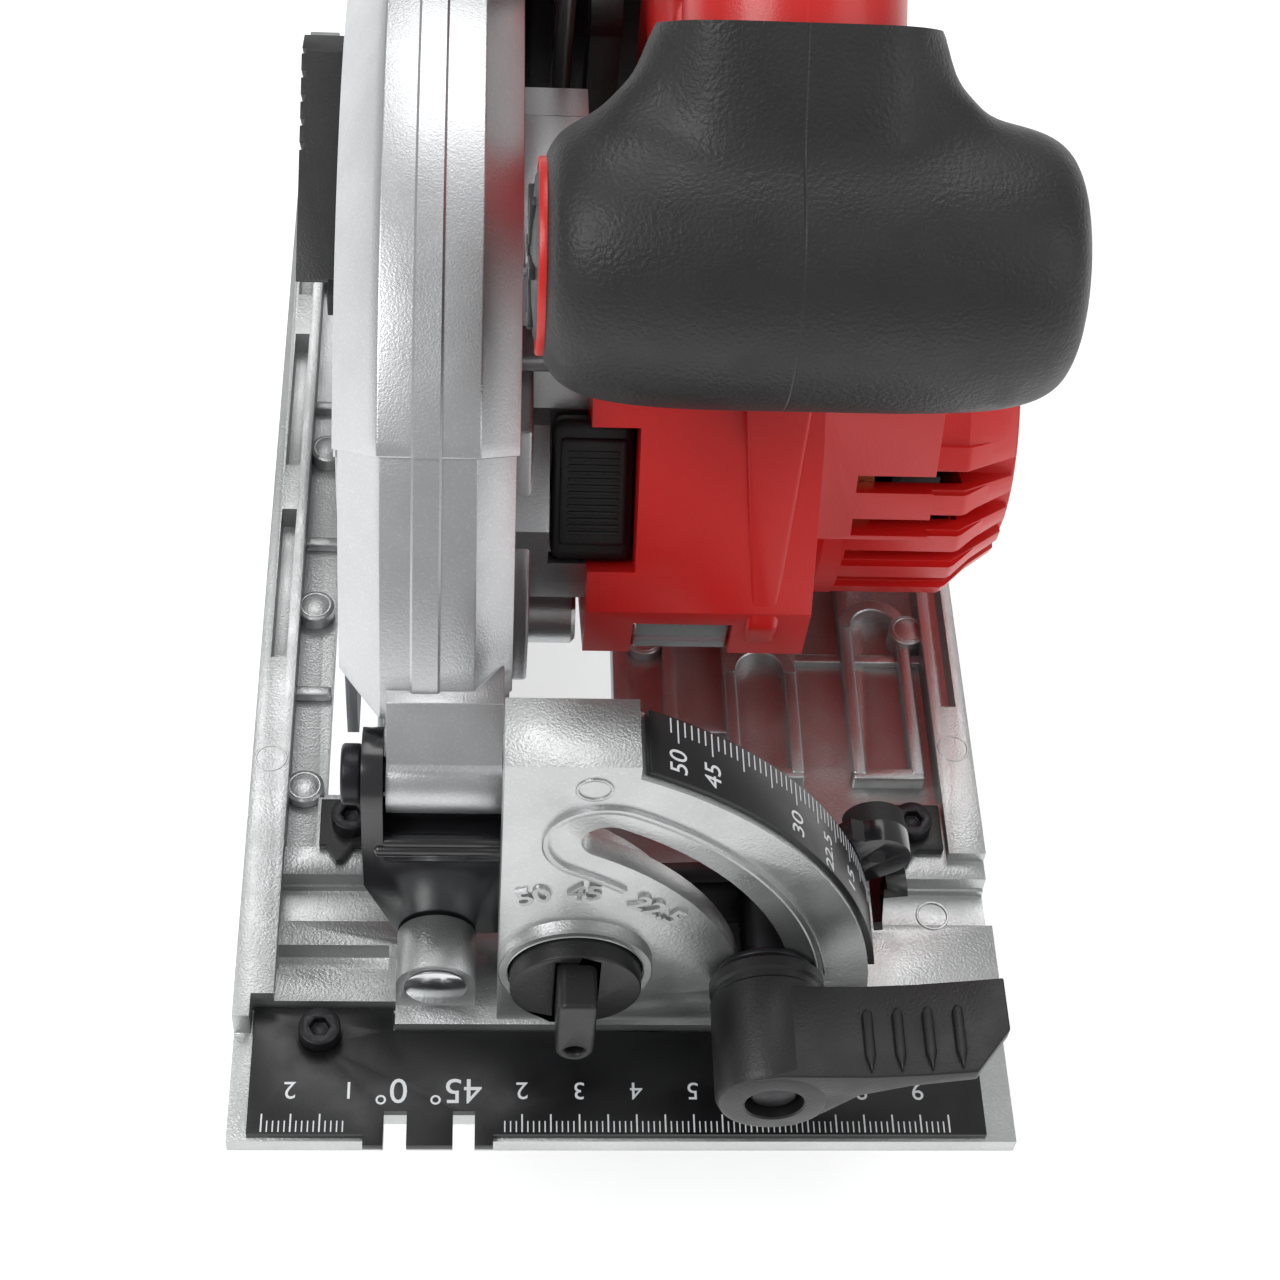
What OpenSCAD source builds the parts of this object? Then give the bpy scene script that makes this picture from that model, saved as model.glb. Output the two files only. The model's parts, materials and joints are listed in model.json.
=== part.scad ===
// Circular saw with a side-mounted motor, resting on its sole at full cutting depth.
// Origin: on the sole, on the square cut line, a little behind the shoe's front edge.
// +X towards the motor, +Y towards the rear, +Z up. Millimetres.

/* [Blade and depth] */
// Diameter of the blade over its tips
blade_d = 190; // [160:1:195]
// Thickness of the blade's steel plate
blade_plate_t = 1.5; // [1.2:0.1:2.2]
// Number of blade teeth
blade_teeth = 24; // [18:2:48]
// Bore of the blade
blade_bore_d = 30; // [20:1:30]
// Deepest square cut below the sole
cut_depth = 66; // [50:1:67]
// Distance of the arbor behind the origin
arbor_y = 128; // [126:1:140]

/* [Shoe] */
// Width of the shoe
shoe_w = 138; // [134:1:160]
// Length of the shoe
shoe_len = 290; // [286:1:330]
// Distance of the shoe's left edge from the cut line
shoe_left = 31; // [30:1:40]
// Distance of the shoe's front edge before the origin
shoe_front = 20; // [16:1:24]
// Thickness of the shoe plate
plate_t = 3.5; // [3:0.1:4]
// Height of the side rails above the sole
rail_h = 9.8; // [8:0.1:11]
// Width of a side rail
rail_w = 7; // [5:0.5:8]
// Thickness of the black scale plate on the front of the shoe
scale_t = 1.6; // [1:0.1:2]
// Width of the rip-fence channel
fence_w = 10; // [6:0.5:12]
// Height of the rip-fence channel
fence_h = 4.2; // [4.2:0.1:4.6]

/* [Bevel] */
// Height of the bevel axis above the sole
bevel_z = 14; // [12:0.5:16]
// Sideways place of the bevel axis
bevel_x = 4.6; // [3:0.2:6]
// Diameter of the bevel pivot pins
bevel_pin_d = 9; // [7:0.5:10]
// Outer radius of the bevel scale
quadrant_r = 77; // [74:1:82]
// Thickness of the quadrant, front to rear
quadrant_t = 13; // [10:0.5:14]
// Radius of the bevel lock slot
slot_r = 58; // [54:1:60]
// Diameter of the bevel lock bolt
bevel_bolt_d = 8; // [6:0.5:9]

/* [Head] */
// Outer radius of the upper guard
guard_r = 103; // [101:1:104]
// Wall thickness of the upper guard
guard_wall = 2.2; // [1.8:0.1:2.6]
// Distance of the depth pivot behind the origin
pivot_y = 25; // [24:0.5:27]
// Height of the depth pivot above the sole
pivot_z = 50; // [47:0.5:52]
// Diameter of the depth pivot barrel
barrel_d = 13; // [11:0.5:14]
// Diameter of the depth pivot bolt
pivot_bolt_d = 6; // [5:0.5:8]
// Radius of the depth arc about the depth pivot
arc_r = 150; // [148:1:152]

/* [Drive] */
// Module of the gears
gear_m = 1.25; // [1:0.05:1.3]
// Teeth of the motor pinion
pinion_teeth = 11; // [9:1:13]
// Teeth of the reduction gear
gear_teeth = 37; // [33:1:37]
// Radius of the motor housing
motor_r = 36; // [34:0.5:38]
// Diameter of the arbor in its bearings
arbor_d = 12; // [10:0.5:15]
// Diameter of the motor shaft
shaft_d = 6; // [5:0.5:7]

/* [Handles] */
// Radius of the front handle
grip_r = 23; // [20:0.5:24]
// Length of the front handle
grip_len = 82; // [74:1:90]
// Height of the front handle above the sole
grip_z = 135; // [130:1:145]
// Distance of the front handle behind the origin
grip_y = 62; // [58:1:66]
// Middle plane of the housings and handles
mid_x = 57; // [55:0.5:60]
// Width of the main handle
handle_w = 34; // [28:1:38]

/* [Battery] */
// Width of the battery pack
pack_w = 76; // [66:1:82]
// Length of the battery pack
pack_len = 112; // [90:1:124]
// Height of the battery pack
pack_h = 58; // [44:1:60]

/* [Fits] */
// Clearance round a pin or shaft that turns in a bore
fit = 0.05; // [0.02:0.01:0.09]
// Gap between pieces that move past each other
gap = 0.4; // [0.3:0.1:0.5]

/* [Hidden] */
$fn = 96;
eps = 0.01;

silver = [0.76, 0.77, 0.78];
steel = [0.62, 0.63, 0.65];
black = [0.09, 0.09, 0.10];
dark = [0.16, 0.16, 0.17];
red = [0.84, 0.10, 0.09];
copper = [0.72, 0.42, 0.22];
green = [0.10, 0.35, 0.18];
clear = [0.85, 0.88, 0.90];

arbor_z = blade_d / 2 - cut_depth;
shoe_right = shoe_w - shoe_left;
shoe_back = shoe_len - shoe_front;
ledge_y = 1;
ledge_h = 7;
lug_r = 7;
boss_y = [4.7, 15];
column_y = [boss_y[1] + gap, boss_y[1] + gap + 4.2];
slot_x = [-17, 38];
slot_y = [52, 236];
kerf_x = [-5, 16];
fence_y = [shoe_front + 2, shoe_front + 2 + fence_w];
kerf_y = fence_y[1] + 2;
rear_wall_y = [slot_y[1] + 3, slot_y[1] + 7];
rear_boss_y = [rear_wall_y[1] + gap, rear_wall_y[1] + gap + 14];
quadrant_y = [boss_y[1] - quadrant_t, boss_y[1]];
scale_a0 = 10.4;
quadrant_x0 = 15.4;
quadrant_top = 86;
dial_x = 28.5;
dial_z = 28;
dial_r = 11.2;

gear_cd = gear_m * (pinion_teeth + gear_teeth) / 2;
motor_a = 54.2;
motor_y = arbor_y - gear_cd * cos(motor_a);
motor_z = arbor_z + gear_cd * sin(motor_a);
guard_left = -12.5;
guard_right = 17;
ear_left = [-8, -8 + 3.6];
ear_right = [16, 19.6];
barrel_x = [ear_left[1] + gap, ear_right[0] - gap];
case_right = 30;
snout_r = 20;
snout_x = 4.6;
arc_x = [24, 27.5];
clamp_a = 5;
clamp_y = pivot_y + arc_r * cos(clamp_a);
clamp_z = pivot_z + arc_r * sin(clamp_a);
depth_span = 36;
pack_y = 190;
pack_z = 42;
handle_top = 188;

// Bodies of revolution and plates along each axis.
module rod_x(r, x0, x1) { translate([x0, 0, 0]) rotate([0, 90, 0]) cylinder(r = r, h = x1 - x0); }
module rod_y(r, y0, y1) { translate([0, y1, 0]) rotate([90, 0, 0]) cylinder(r = r, h = y1 - y0); }
module tube_x(r, r_in, x0, x1) {
  difference() {
    rod_x(r, x0, x1);
    rod_x(r_in, x0 - 1, x1 + 1);
  }
}
module at_arbor() { translate([0, arbor_y, arbor_z]) children(); }
module at_motor() { translate([0, motor_y, motor_z]) children(); }
module at_pivot() { translate([0, pivot_y, pivot_z]) children(); }
module at_bevel() { translate([bevel_x, 0, bevel_z]) children(); }
module block(lo, hi) { translate(lo) cube(hi - lo); }
// A plate drawn in the YZ plane and raised along X.
module plate_x(x0, x1) { translate([x0, 0, 0]) rotate([90, 0, 90]) linear_extrude(x1 - x0) children(); }
// A plate drawn in the XZ plane and raised along Y.
module plate_y(y0, y1) { translate([0, y1, 0]) rotate([90, 0, 0]) linear_extrude(y1 - y0) children(); }
module sector(r0, r1, a0, a1) {
  // A ring segment with true arcs; its sides come from a fan wider than the ring.
  steps = max(1, ceil((a1 - a0) / 60));
  intersection() {
    difference() {
      circle(r1, $fn = 180);
      if (r0 > 0) circle(r0, $fn = 180);
    }
    polygon(concat([[0, 0]], [for (i = [0 : steps])
      let (a = a0 + (a1 - a0) * i / steps) [cos(a), sin(a)] * r1 * 2]));
  }
}
module arc_slot(r, w, a0, a1) {
  sector(r - w / 2, r + w / 2, a0, a1);
  for (a = [a0, a1]) translate([cos(a), sin(a)] * r) circle(d = w);
}
module rounded(w, h, r) {
  square([w - 2 * r, h], center = true);
  square([w, h - 2 * r], center = true);
  for (x = [-1, 1], z = [-1, 1]) translate([x * (w / 2 - r), z * (h / 2 - r)]) circle(r);
}
// A socket-head screw along +Z from its seat, head up.
module screw(d, head_d, head_h, length) {
  difference() {
    union() {
      cylinder(d = head_d, h = head_h);
      translate([0, 0, -length]) cylinder(d = d, h = length + eps);
    }
    translate([0, 0, head_h * 0.4]) cylinder(d = head_d * 0.5, h = head_h, $fn = 6);
  }
}
module gear_outline(teeth, m) {
  r = teeth * m / 2;
  step = 360 / teeth;
  tooth = [[-0.30, -1.1], [-0.19, 0], [-0.09, 0.85], [0.09, 0.85], [0.19, 0], [0.30, -1.1]];
  polygon([for (i = [0 : teeth - 1], k = tooth)
    let (a = (i + k[0]) * step, rr = r + k[1] * m) [rr * cos(a), rr * sin(a)]]);
}

/* Shoe group */
pad_w = 13;
pointer_t = 1.8;
seat = 0.03;
fence_hole_y = fence_y[1] + 10.5;
fence_holes = [[kerf_x[0] - pad_w / 2 - 0.3, fence_hole_y], [shoe_right - rail_w - pad_w / 2, fence_hole_y]];
front_screw = [-15.7, 0];
ledge_step = [-28, -2.5, 5.5];
scale_x = [-shoe_left + 3.5, shoe_right - 5.5];
link_holes_x = [24, 94];
rib_xs = [48, 60, 72, 84];
fence_screw_d = 4;

module quadrant_shape() {
  intersection() {
    union() {
      translate([bevel_x, bevel_z]) circle(r = quadrant_r - 1.2, $fn = 180);
      translate([quadrant_x0, ledge_h - 1]) square([21, quadrant_top - ledge_h + 1]);
    }
    translate([quadrant_x0, 3]) square([bevel_x + quadrant_r - 0.8 - quadrant_x0, quadrant_top - 3]);
  }
}
module shoe() {
  color(silver) difference() {
    union() {
      block([-shoe_left, -shoe_front, 0], [shoe_right, shoe_back, plate_t]);
      // Side rails and the front and rear decks.
      block([-shoe_left, ledge_y, 0], [-shoe_left + rail_w, shoe_back, rail_h]);
      block([shoe_right - rail_w, fence_y[1] + 4, 0], [shoe_right, shoe_back, rail_h]);
      block([-shoe_left, ledge_y, 0], [shoe_right, fence_y[0], ledge_h]);
      block([-shoe_left, fence_y[1], 0], [kerf_x[0], fence_y[1] + 6, ledge_h]);
      block([kerf_x[1], fence_y[1], 0], [shoe_right, fence_y[1] + 6, ledge_h]);
      block([-shoe_left, shoe_back - 16, 0], [shoe_right, shoe_back, ledge_h]);
      // Walls along the blade slot and ribs over the wide plate.
      block([slot_x[1], slot_y[0], 0], [slot_x[1] + 3, slot_y[1], 7]);
      for (x = rib_xs) block([x, slot_y[0] + 6, 0], [x + 2.4, slot_y[1] - 6, 7]);
      for (p = fence_holes)
        block([p[0] - pad_w / 2, fence_y[1], 0], [p[0] + pad_w / 2, slot_y[0] - 3, ledge_h]);
      // Bevel bosses and their webs.
      at_bevel() rod_y(lug_r, boss_y[0], boss_y[1]);
      block([bevel_x - lug_r, boss_y[0], 0], [bevel_x + lug_r, boss_y[1], bevel_z]);
      at_bevel() rod_y(lug_r, rear_boss_y[0], rear_boss_y[1]);
      block([bevel_x - lug_r, rear_boss_y[0], 0], [bevel_x + lug_r, rear_boss_y[1], bevel_z]);
      // Quadrant that carries the bevel scale.
      plate_y(quadrant_y[0], quadrant_y[1]) quadrant_shape();
      translate([dial_x, 0, dial_z]) rod_y(dial_r + 2, quadrant_y[0] - 2, quadrant_y[0] + eps);
    }
    // Quadrant: lock slot, hollow rear and the dial's bore.
    plate_y(quadrant_y[0] - 5, quadrant_y[1] + 1) translate([bevel_x, bevel_z])
      arc_slot(slot_r, bevel_bolt_d + 2 * gap, scale_a0 - 1, scale_a0 + 51);
    plate_y(quadrant_y[0] + 4, quadrant_y[1] + 1) translate([bevel_x, bevel_z])
      sector(slot_r - 13, quadrant_r - 5, scale_a0 - 6, scale_a0 + 56);
    translate([dial_x, 0, dial_z]) rod_y(dial_r + gap, quadrant_y[0] - 3, quadrant_y[0] + 2);
    translate([dial_x, 0, dial_z]) rod_y(4 + fit, quadrant_y[0], quadrant_y[1] + 1);
    // Blade slot, kerf slot and the cut-line notches.
    block([slot_x[0], slot_y[0], -1], [slot_x[1], slot_y[1], 20]);
    block([kerf_x[0], kerf_y, -1], [kerf_x[1], slot_y[0] + 1, 20]);
    block([-4, -shoe_front - 1, -1], [0, -shoe_front + 5, plate_t + 1]);
    block([8, -shoe_front - 1, -1], [11.8, -shoe_front + 5, plate_t + 1]);
    // Rip-fence channel, open at both sides, and pockets that lighten the decks.
    block([-shoe_left - 1, fence_y[0] + 0.5, 2], [kerf_x[0], fence_y[1] - 0.5, 2 + fence_h]);
    block([kerf_x[0] - 1, fence_y[0] + 0.5, 2], [shoe_right + 1, fence_y[1] - 0.5, 2 + fence_h]);
    block([-24, fence_y[0] - 10, 2.5], [-4, fence_y[0] - 5, 20]);
    block([44, ledge_y + 16, 2.5], [84, fence_y[0] - 2, 20]);
    for (y = [70, 120, 170]) block([shoe_right - rail_w + 2, y, 4], [shoe_right - 2, y + 38, 20]);
    for (y = [80, 130, 180]) block([-shoe_left + 2, y, 4], [-shoe_left + rail_w - 2, y + 38, 20]);
    block([ledge_step[0], ledge_y - 1, plate_t], [ledge_step[1], ledge_step[2], 20]);
    // Pin and screw holes.
    at_bevel() rod_y(bevel_pin_d / 2, boss_y[0] - 5, boss_y[1] + 1);
    at_bevel() rod_y(bevel_pin_d / 2, rear_boss_y[0] - 1, rear_boss_y[1] + 1);
    translate([front_screw[0], front_screw[1], -1]) cylinder(d = fence_screw_d, h = 20);
    for (p = fence_holes) translate([p[0], p[1], -1]) cylinder(d = fence_screw_d, h = 20);
    for (x = link_holes_x) translate([x, shoe_back - 8, -1]) cylinder(d = 5, h = 20);
  }
}
module front_scale() {
  z0 = plate_t;
  color(black) difference() {
    union() {
      block([scale_x[0], -shoe_front + 0.6, z0], [scale_x[1], ledge_y - gap, z0 + scale_t]);
      block([ledge_step[0] + gap, ledge_y - 1, z0], [ledge_step[1] - gap, ledge_step[2] - gap, z0 + scale_t]);
      block([-7.5, -shoe_front - 1.5, z0], [15, -shoe_front + 1, z0 + scale_t]);
    }
    block([-4, -shoe_front - 2, z0 - 1], [0, -shoe_front + 5, z0 + 5]);
    block([8, -shoe_front - 2, z0 - 1], [11.8, -shoe_front + 5, z0 + 5]);
    translate([front_screw[0], front_screw[1], 0]) cylinder(d = fence_screw_d, h = 20);
  }
}
module bevel_scale() {
  color(black) plate_y(quadrant_y[0] + 1, quadrant_y[1]) translate([bevel_x, bevel_z])
    sector(quadrant_r - 1.2 + seat, quadrant_r, scale_a0 - 2, scale_a0 + 54);
}
module fence_pointers() {
  color(black) for (p = fence_holes) difference() {
    union() {
      block([p[0] - 5.8, p[1] - 5, ledge_h], [p[0] + 5.8, p[1] + 5, ledge_h + pointer_t]);
      translate([p[0] - 2, p[1] - 5, ledge_h]) rotate([0, 0, 180])
        linear_extrude(pointer_t) polygon([[-3, -1], [3, -1], [0.6, 3.5], [-0.6, 3.5]]);
    }
    translate([p[0], p[1], 0]) cylinder(d = fence_screw_d, h = 20);
  }
}
module shoe_screws() {
  color(dark) {
    d = fence_screw_d - 2 * seat;
    scale_top = plate_t + scale_t;
    pointer_top = ledge_h + pointer_t;
    translate([front_screw[0], front_screw[1], scale_top]) screw(d, 7.4, 3, scale_top - 0.5);
    for (p = fence_holes) translate([p[0], p[1], pointer_top]) screw(d, 7.4, 3, pointer_top - 0.5);
  }
}
module front_bevel_pin() { color(steel) at_bevel() rod_y(bevel_pin_d / 2, boss_y[0] + 0.6, column_y[1]); }
module rear_bevel_pin() { color(steel) at_bevel() rod_y(bevel_pin_d / 2, rear_wall_y[0], rear_boss_y[1]); }
module stop_dial() {
  color(black) translate([dial_x, 0, dial_z]) difference() {
    union() {
      rod_y(dial_r, quadrant_y[0] - 6, quadrant_y[0] + 2 - gap);
      rod_y(4, quadrant_y[0] - 6, quadrant_y[1] - 1);
    }
    block([-3.6, quadrant_y[0] - 7, -10.6], [3.6, quadrant_y[0] - 1.6, 9]);
  }
}
module stop_pusher() {
  color(black) translate([dial_x, 0, dial_z]) difference() {
    plate_y(quadrant_y[0] - 14, quadrant_y[0] - 3.8) union() {
      rounded(6.6, 17, 1.5);
      translate([0, -7]) circle(d = 6.4);
    }
    translate([0, 0, -7]) rod_y(1.6, quadrant_y[0] - 15, quadrant_y[0] - 9);
  }
}

/* Tilt group */
bolt_x = bevel_x + slot_r * cos(scale_a0);
bolt_z = bevel_z + slot_r * sin(scale_a0);
pointer_a = 19;
pointer_x = bevel_x + 80 * cos(pointer_a);
pointer_z = bevel_z + 80 * sin(pointer_a);

module tilt_bracket() {
  color(black) difference() {
    union() {
      plate_y(column_y[0], column_y[1]) union() {
        translate([bevel_x, bevel_z]) circle(lug_r);
        polygon([[bevel_x - lug_r, bevel_z], [bevel_x + lug_r, bevel_z],
          [bevel_x + slot_r + 3, bolt_z - 7], [bolt_x + 7, bolt_z], [bolt_x, bolt_z + 8],
          [ear_right[1], pivot_z - 20], [ear_right[1], pivot_z - 12], [ear_left[0], pivot_z - 12],
          [ear_left[0], pivot_z - 20]]);
        polygon([[bolt_x - 4, bolt_z - 6], [bolt_x, bolt_z + 8], [pointer_x - 5, pointer_z + 6],
          [pointer_x + 5, pointer_z + 2], [pointer_x + 3, pointer_z - 5]]);
        translate([bolt_x, bolt_z]) circle(8);
        translate([pointer_x, pointer_z]) circle(5.8);
      }
      for (e = [ear_left, ear_right]) plate_x(e[0], e[1]) union() {
        translate([pivot_y, pivot_z]) circle(8);
        polygon([[column_y[0], pivot_z - 20], [pivot_y, pivot_z - 20], [pivot_y + 7.9, pivot_z - 1],
          [pivot_y - 7.6, pivot_z + 2.4], [column_y[0], pivot_z - 8]]);
      }
    }
    at_pivot() rod_x(pivot_bolt_d / 2, -20, 30);
    at_bevel() rod_y(bevel_pin_d / 2 + fit, column_y[0] - 1, column_y[1] + 1);
    translate([bolt_x, 0, bolt_z]) rod_y(bevel_bolt_d / 2, column_y[0] - 1, column_y[1] + 1);
    translate([pointer_x, 0, pointer_z]) rod_y(1.5, column_y[0] - 1, column_y[1] + 1);
  }
}
module bevel_bolt() {
  color(steel) translate([bolt_x, 0, bolt_z]) {
    rod_y(bevel_bolt_d / 2, -22, column_y[1] + eps);
    rod_y(7, column_y[1], column_y[1] + 4);
  }
}
module bevel_pointer() {
  color(black) {
    translate([pointer_x, 0, pointer_z]) {
      rod_y(1.5, column_y[0], column_y[1] + eps);
      difference() {
        rod_y(5.4, column_y[1], column_y[1] + 4);
        rod_y(2, column_y[1] + 2, column_y[1] + 5);
      }
    }
    plate_y(column_y[0], column_y[1]) translate([bevel_x, bevel_z]) sector(quadrant_r + gap, 84, 9.4, 11.4);
    plate_y(column_y[0], column_y[1]) translate([bevel_x, bevel_z]) sector(80.5, 84, 9.4, 14.6);
    plate_y(quadrant_y[1] - 6, column_y[0] + eps) translate([bevel_x, bevel_z])
      sector(quadrant_r + gap, quadrant_r + gap + 1.6, 9.4, 11.4);
  }
}
module pivot_bolt() {
  color(dark) at_pivot() {
    rod_x(pivot_bolt_d / 2, ear_left[0] - eps, ear_right[1] + 1);
    rod_x(5.2, ear_left[0] - 3.6, ear_left[0]);
    rod_x(4.6, ear_right[1], ear_right[1] + 3.4);
  }
}
module depth_arc() {
  color(black) difference() {
    union() {
      plate_x(arc_x[0], arc_x[1]) union() {
        translate([pivot_y, pivot_z]) sector(arc_r - 7, arc_r + 7, -14.5, 45);
        polygon([[pivot_y + 133, 14], [pivot_y + 150, 30], [rear_wall_y[1], 30], [rear_wall_y[1], 14]]);
      }
      plate_y(rear_wall_y[0], rear_wall_y[1]) union() {
        translate([bevel_x, bevel_z]) circle(lug_r);
        polygon([[bevel_x, bevel_z - lug_r], [arc_x[1], 14], [arc_x[1], 30], [arc_x[0], 30],
          [bevel_x, bevel_z + lug_r]]);
      }
    }
    plate_x(arc_x[0] - 1, arc_x[1] + 1) translate([pivot_y, pivot_z])
      arc_slot(arc_r, 6.6, clamp_a, clamp_a + depth_span + 0.5);
    at_bevel() rod_y(bevel_pin_d / 2 + fit, rear_wall_y[0] - 1, rear_wall_y[1] + 1);
  }
}
lever_y = [-23.5, quadrant_y[0] - 1.4];
module lever_washer() {
  color(dark) translate([bolt_x, 0, bolt_z]) difference() {
    rod_y(8.6, lever_y[1] + 0.1, quadrant_y[0] - 0.1);
    rod_y(bevel_bolt_d / 2 + fit, lever_y[1] - 1, quadrant_y[0] + 1);
  }
}
module bevel_lever() {
  reach = [lever_y[0] + 0.3, lever_y[0] + 17.5];
  color(black) translate([bolt_x, 0, bolt_z]) difference() {
    union() {
      rod_y(9.6, lever_y[0], lever_y[1]);
      intersection() {
        plate_y(reach[0], reach[1]) polygon([[-4, 8.6], [0, 9.5], [15, 9.2], [33, 11.4], [38.6, 12.3],
          [38.6, 9.7], [33, 8.7], [22, 6], [14, 2.6], [9, -3.2], [4, -8.5]]);
        translate([0, 0, -20]) linear_extrude(40) polygon([[-12, reach[0] - 1], [32.6, reach[0] - 1],
          [38, reach[0] + 6.6], [39.6, reach[1] + 1], [-12, reach[1] + 1]]);
      }
      for (x = [14.4, 19.4, 24.4, 29.4])
        block([x, reach[0] + 0.8, 7], [x + 1.6, reach[0] + 12.6, 10.3 + (x - 14.4) * 0.12]);
    }
    rod_y(bevel_bolt_d / 2 + fit, lever_y[0] - 1, lever_y[1] + 1);
  }
}

/* Head group */
module guard_profile(r0) {
  // Half section as [radius, place along the arbor].
  polygon([[0, guard_left], [r0 - 12, guard_left], [r0 - 1.4, guard_left + 6.4],
    [r0, guard_left + 7.4], [r0, guard_right - 6.4], [r0 - 7, guard_right], [0, guard_right]]);
}
module guard_cavity(r0) {
  w = guard_wall;
  polygon([[-1, guard_left + w], [r0 - 12 - w, guard_left + w], [r0 - w, guard_left + 6.4 + w],
    [r0 - w, guard_right - 6.4 - w], [r0 - 7 - w, guard_right - w], [-1, guard_right - w]]);
}
guard_screw_angles = [20, 78, 160, 203];
guard_screw_pitch_r = 31;
module on_guard_screws() {
  for (a = guard_screw_angles) at_arbor() rotate([a, 0, 0]) translate([0, guard_screw_pitch_r, 0]) children();
}
module upper_guard() {
  color(silver) difference() {
    union() {
      intersection() {
        at_arbor() rotate([0, 90, 0]) difference() {
          rotate_extrude($fn = 180) guard_profile(guard_r);
          rotate_extrude($fn = 180) intersection() {
            guard_cavity(guard_r);
            translate([0, -50]) square([200, 100]);
          }
        }
        plate_x(guard_left - 1, guard_right + 1) polygon([[52, 24], [52, 56], [20, 61], [20, 150],
          [arbor_y + guard_r + 5, 150], [arbor_y + guard_r + 5, 24]]);
      }
      at_pivot() rod_x(barrel_d / 2, barrel_x[0], barrel_x[1]);
      plate_x(barrel_x[0], barrel_x[1]) polygon([[pivot_y - 3, pivot_z + 5], [pivot_y + 4, pivot_z + 15],
        [pivot_y + 12, pivot_z + 15], [pivot_y + 4, pivot_z + 3]]);
      // Boss for the depth clamp bolt.
      translate([0, clamp_y, clamp_z]) rod_x(7, guard_right - 1, arc_x[0] - gap);
    }
    at_pivot() rod_x(pivot_bolt_d / 2 + fit, barrel_x[0] - 1, barrel_x[1] + 1);
    // Blade bolt and guard hub opening in the left wall, and the gear case seat in the right wall.
    at_arbor() rod_x(28.5, guard_left - 1, 0);
    at_arbor() rod_x(snout_r + 5, 5, guard_right + 1);
    translate([0, clamp_y, clamp_z]) rod_x(3, 5, 40);
    on_guard_screws() rod_x(2, 10, 30);
  }
}
module limb(p, q, r) {
  // A straight stretch with round ends a hair wider than its sides.
  translate(p) circle(r + 0.03);
  translate(q) circle(r + 0.03);
  translate(p) rotate(atan2(q[1] - p[1], q[0] - p[0])) translate([0, -r]) square([norm(q - p), 2 * r]);
}
lock_a = 36;
lock_x = 28.3;
lock_w = 14.4;
lock_face = 70;
module at_lock() { translate([0, arbor_y, arbor_z]) rotate([90 - lock_a, 0, 0]) children(); }
module lock_room() {
  at_lock() {
    translate([lock_x, 0, 8]) cylinder(r = 1.9 + fit, h = 60);
    translate([lock_x, 0, 50]) cylinder(r = 5, h = 12);
    translate([23.6 - gap, -12.8 - gap, 60.5]) cube([lock_w + 2 * gap, 25.6 + 2 * gap, 20]);
  }
}
module gear_case() {
  color(silver) difference() {
    union() {
      at_arbor() rod_x(snout_r, snout_x + 1, guard_right + 1);
      plate_x(guard_right + 0.02, case_right) union() {
        translate([arbor_y, arbor_z]) circle(27);
        translate([motor_y, motor_z]) circle(33);
        polygon([[motor_y - 32, motor_z + 8], [motor_y - 14, motor_z + 46], [motor_y + 36, motor_z + 44],
          [motor_y + 40, motor_z - 10], [arbor_y + 20, arbor_z - 10]]);
        polygon([[motor_y - 46, motor_z - 4], [motor_y - 46, motor_z + 14], [motor_y - 30, motor_z + 24],
          [motor_y - 10, motor_z + 20], [motor_y - 20, motor_z - 18]]);
      }
      on_guard_screws() rod_x(4.5, guard_right + 0.02, case_right);
    }
    // Gear room, bearing seat, arbor hole, guard bolts and the lock pin's room.
    at_arbor() rod_x(gear_m * gear_teeth / 2 + 1.6, 20, case_right + 1);
    at_motor() rod_x(gear_m * pinion_teeth / 2 + 3, 20, case_right + 1);
    at_arbor() rod_x(14, snout_x, 13);
    at_arbor() rod_x(arbor_d / 2 + 1, 12, 40);
    on_guard_screws() rod_x(2, 10, 27);
    lock_room();
  }
}
housing_wall = 3;
lock_off_r = 4.5;
module housing_rear() {
  polygon([[motor_y, motor_z + 20], [motor_y + 10, 104], [pack_y - gap, 104], [pack_y - gap, 56],
    [motor_y + 30, 40], [motor_y, motor_z - 20]]);
}
module motor_housing() {
  w = housing_wall;
  color(red) difference() {
    union() {
      at_motor() {
        rod_x(motor_r, case_right + 0.02, 98);
        translate([98, 0, 0]) rotate([0, 90, 0]) cylinder(r1 = motor_r, r2 = motor_r - 7, h = 10);
      }
      // Front nose with the lamp, and the top that carries the handles.
      plate_x(case_right + 0.02, 70) polygon([[motor_y - 52, motor_z - 12], [motor_y - 54, motor_z + 2],
        [motor_y - 40, motor_z + 30], [motor_y - 22, motor_z + 48], [motor_y, motor_z + 51],
        [motor_y + 10, motor_z], [motor_y - 20, motor_z - 28]]);
      plate_x(case_right + 0.02, 92) polygon([[motor_y - 38, motor_z + 4], [motor_y - 30, motor_z + 34],
        [motor_y + 30, motor_z + 36], [motor_y + 30, motor_z]]);
      plate_x(42, 72) housing_rear();
    }
    at_motor() rod_x(motor_r - w, 36, 98);
    at_motor() rod_x(16, 97, 104);
    at_motor() rod_x(8, 31, 37);
    at_arbor() rod_x(11, 29, 35);
    at_motor() rod_x(shaft_d / 2 + 1, 29, 105);
    plate_x(42 + w, 72 - w) polygon([[motor_y + 34, 60], [motor_y + 34, 100], [pack_y - w - gap, 100],
      [pack_y - w - gap, 60]]);
    block([38.6, motor_y - 60, 40], [56.4, motor_y - 44, motor_z - 2]);
    // Vent slots round the front of the motor's free end.
    for (k = [0 : 3]) at_motor() rotate([18 - 14 * k, 0, 0])
      block([78, -motor_r - 16, -1.8], [112, -motor_r + 8, 1.8]);
    lock_room();
    for (p = housing_screw_points) translate([0, p[0], p[1]]) rod_x(2.2, 60, 80);
  }
}
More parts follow.
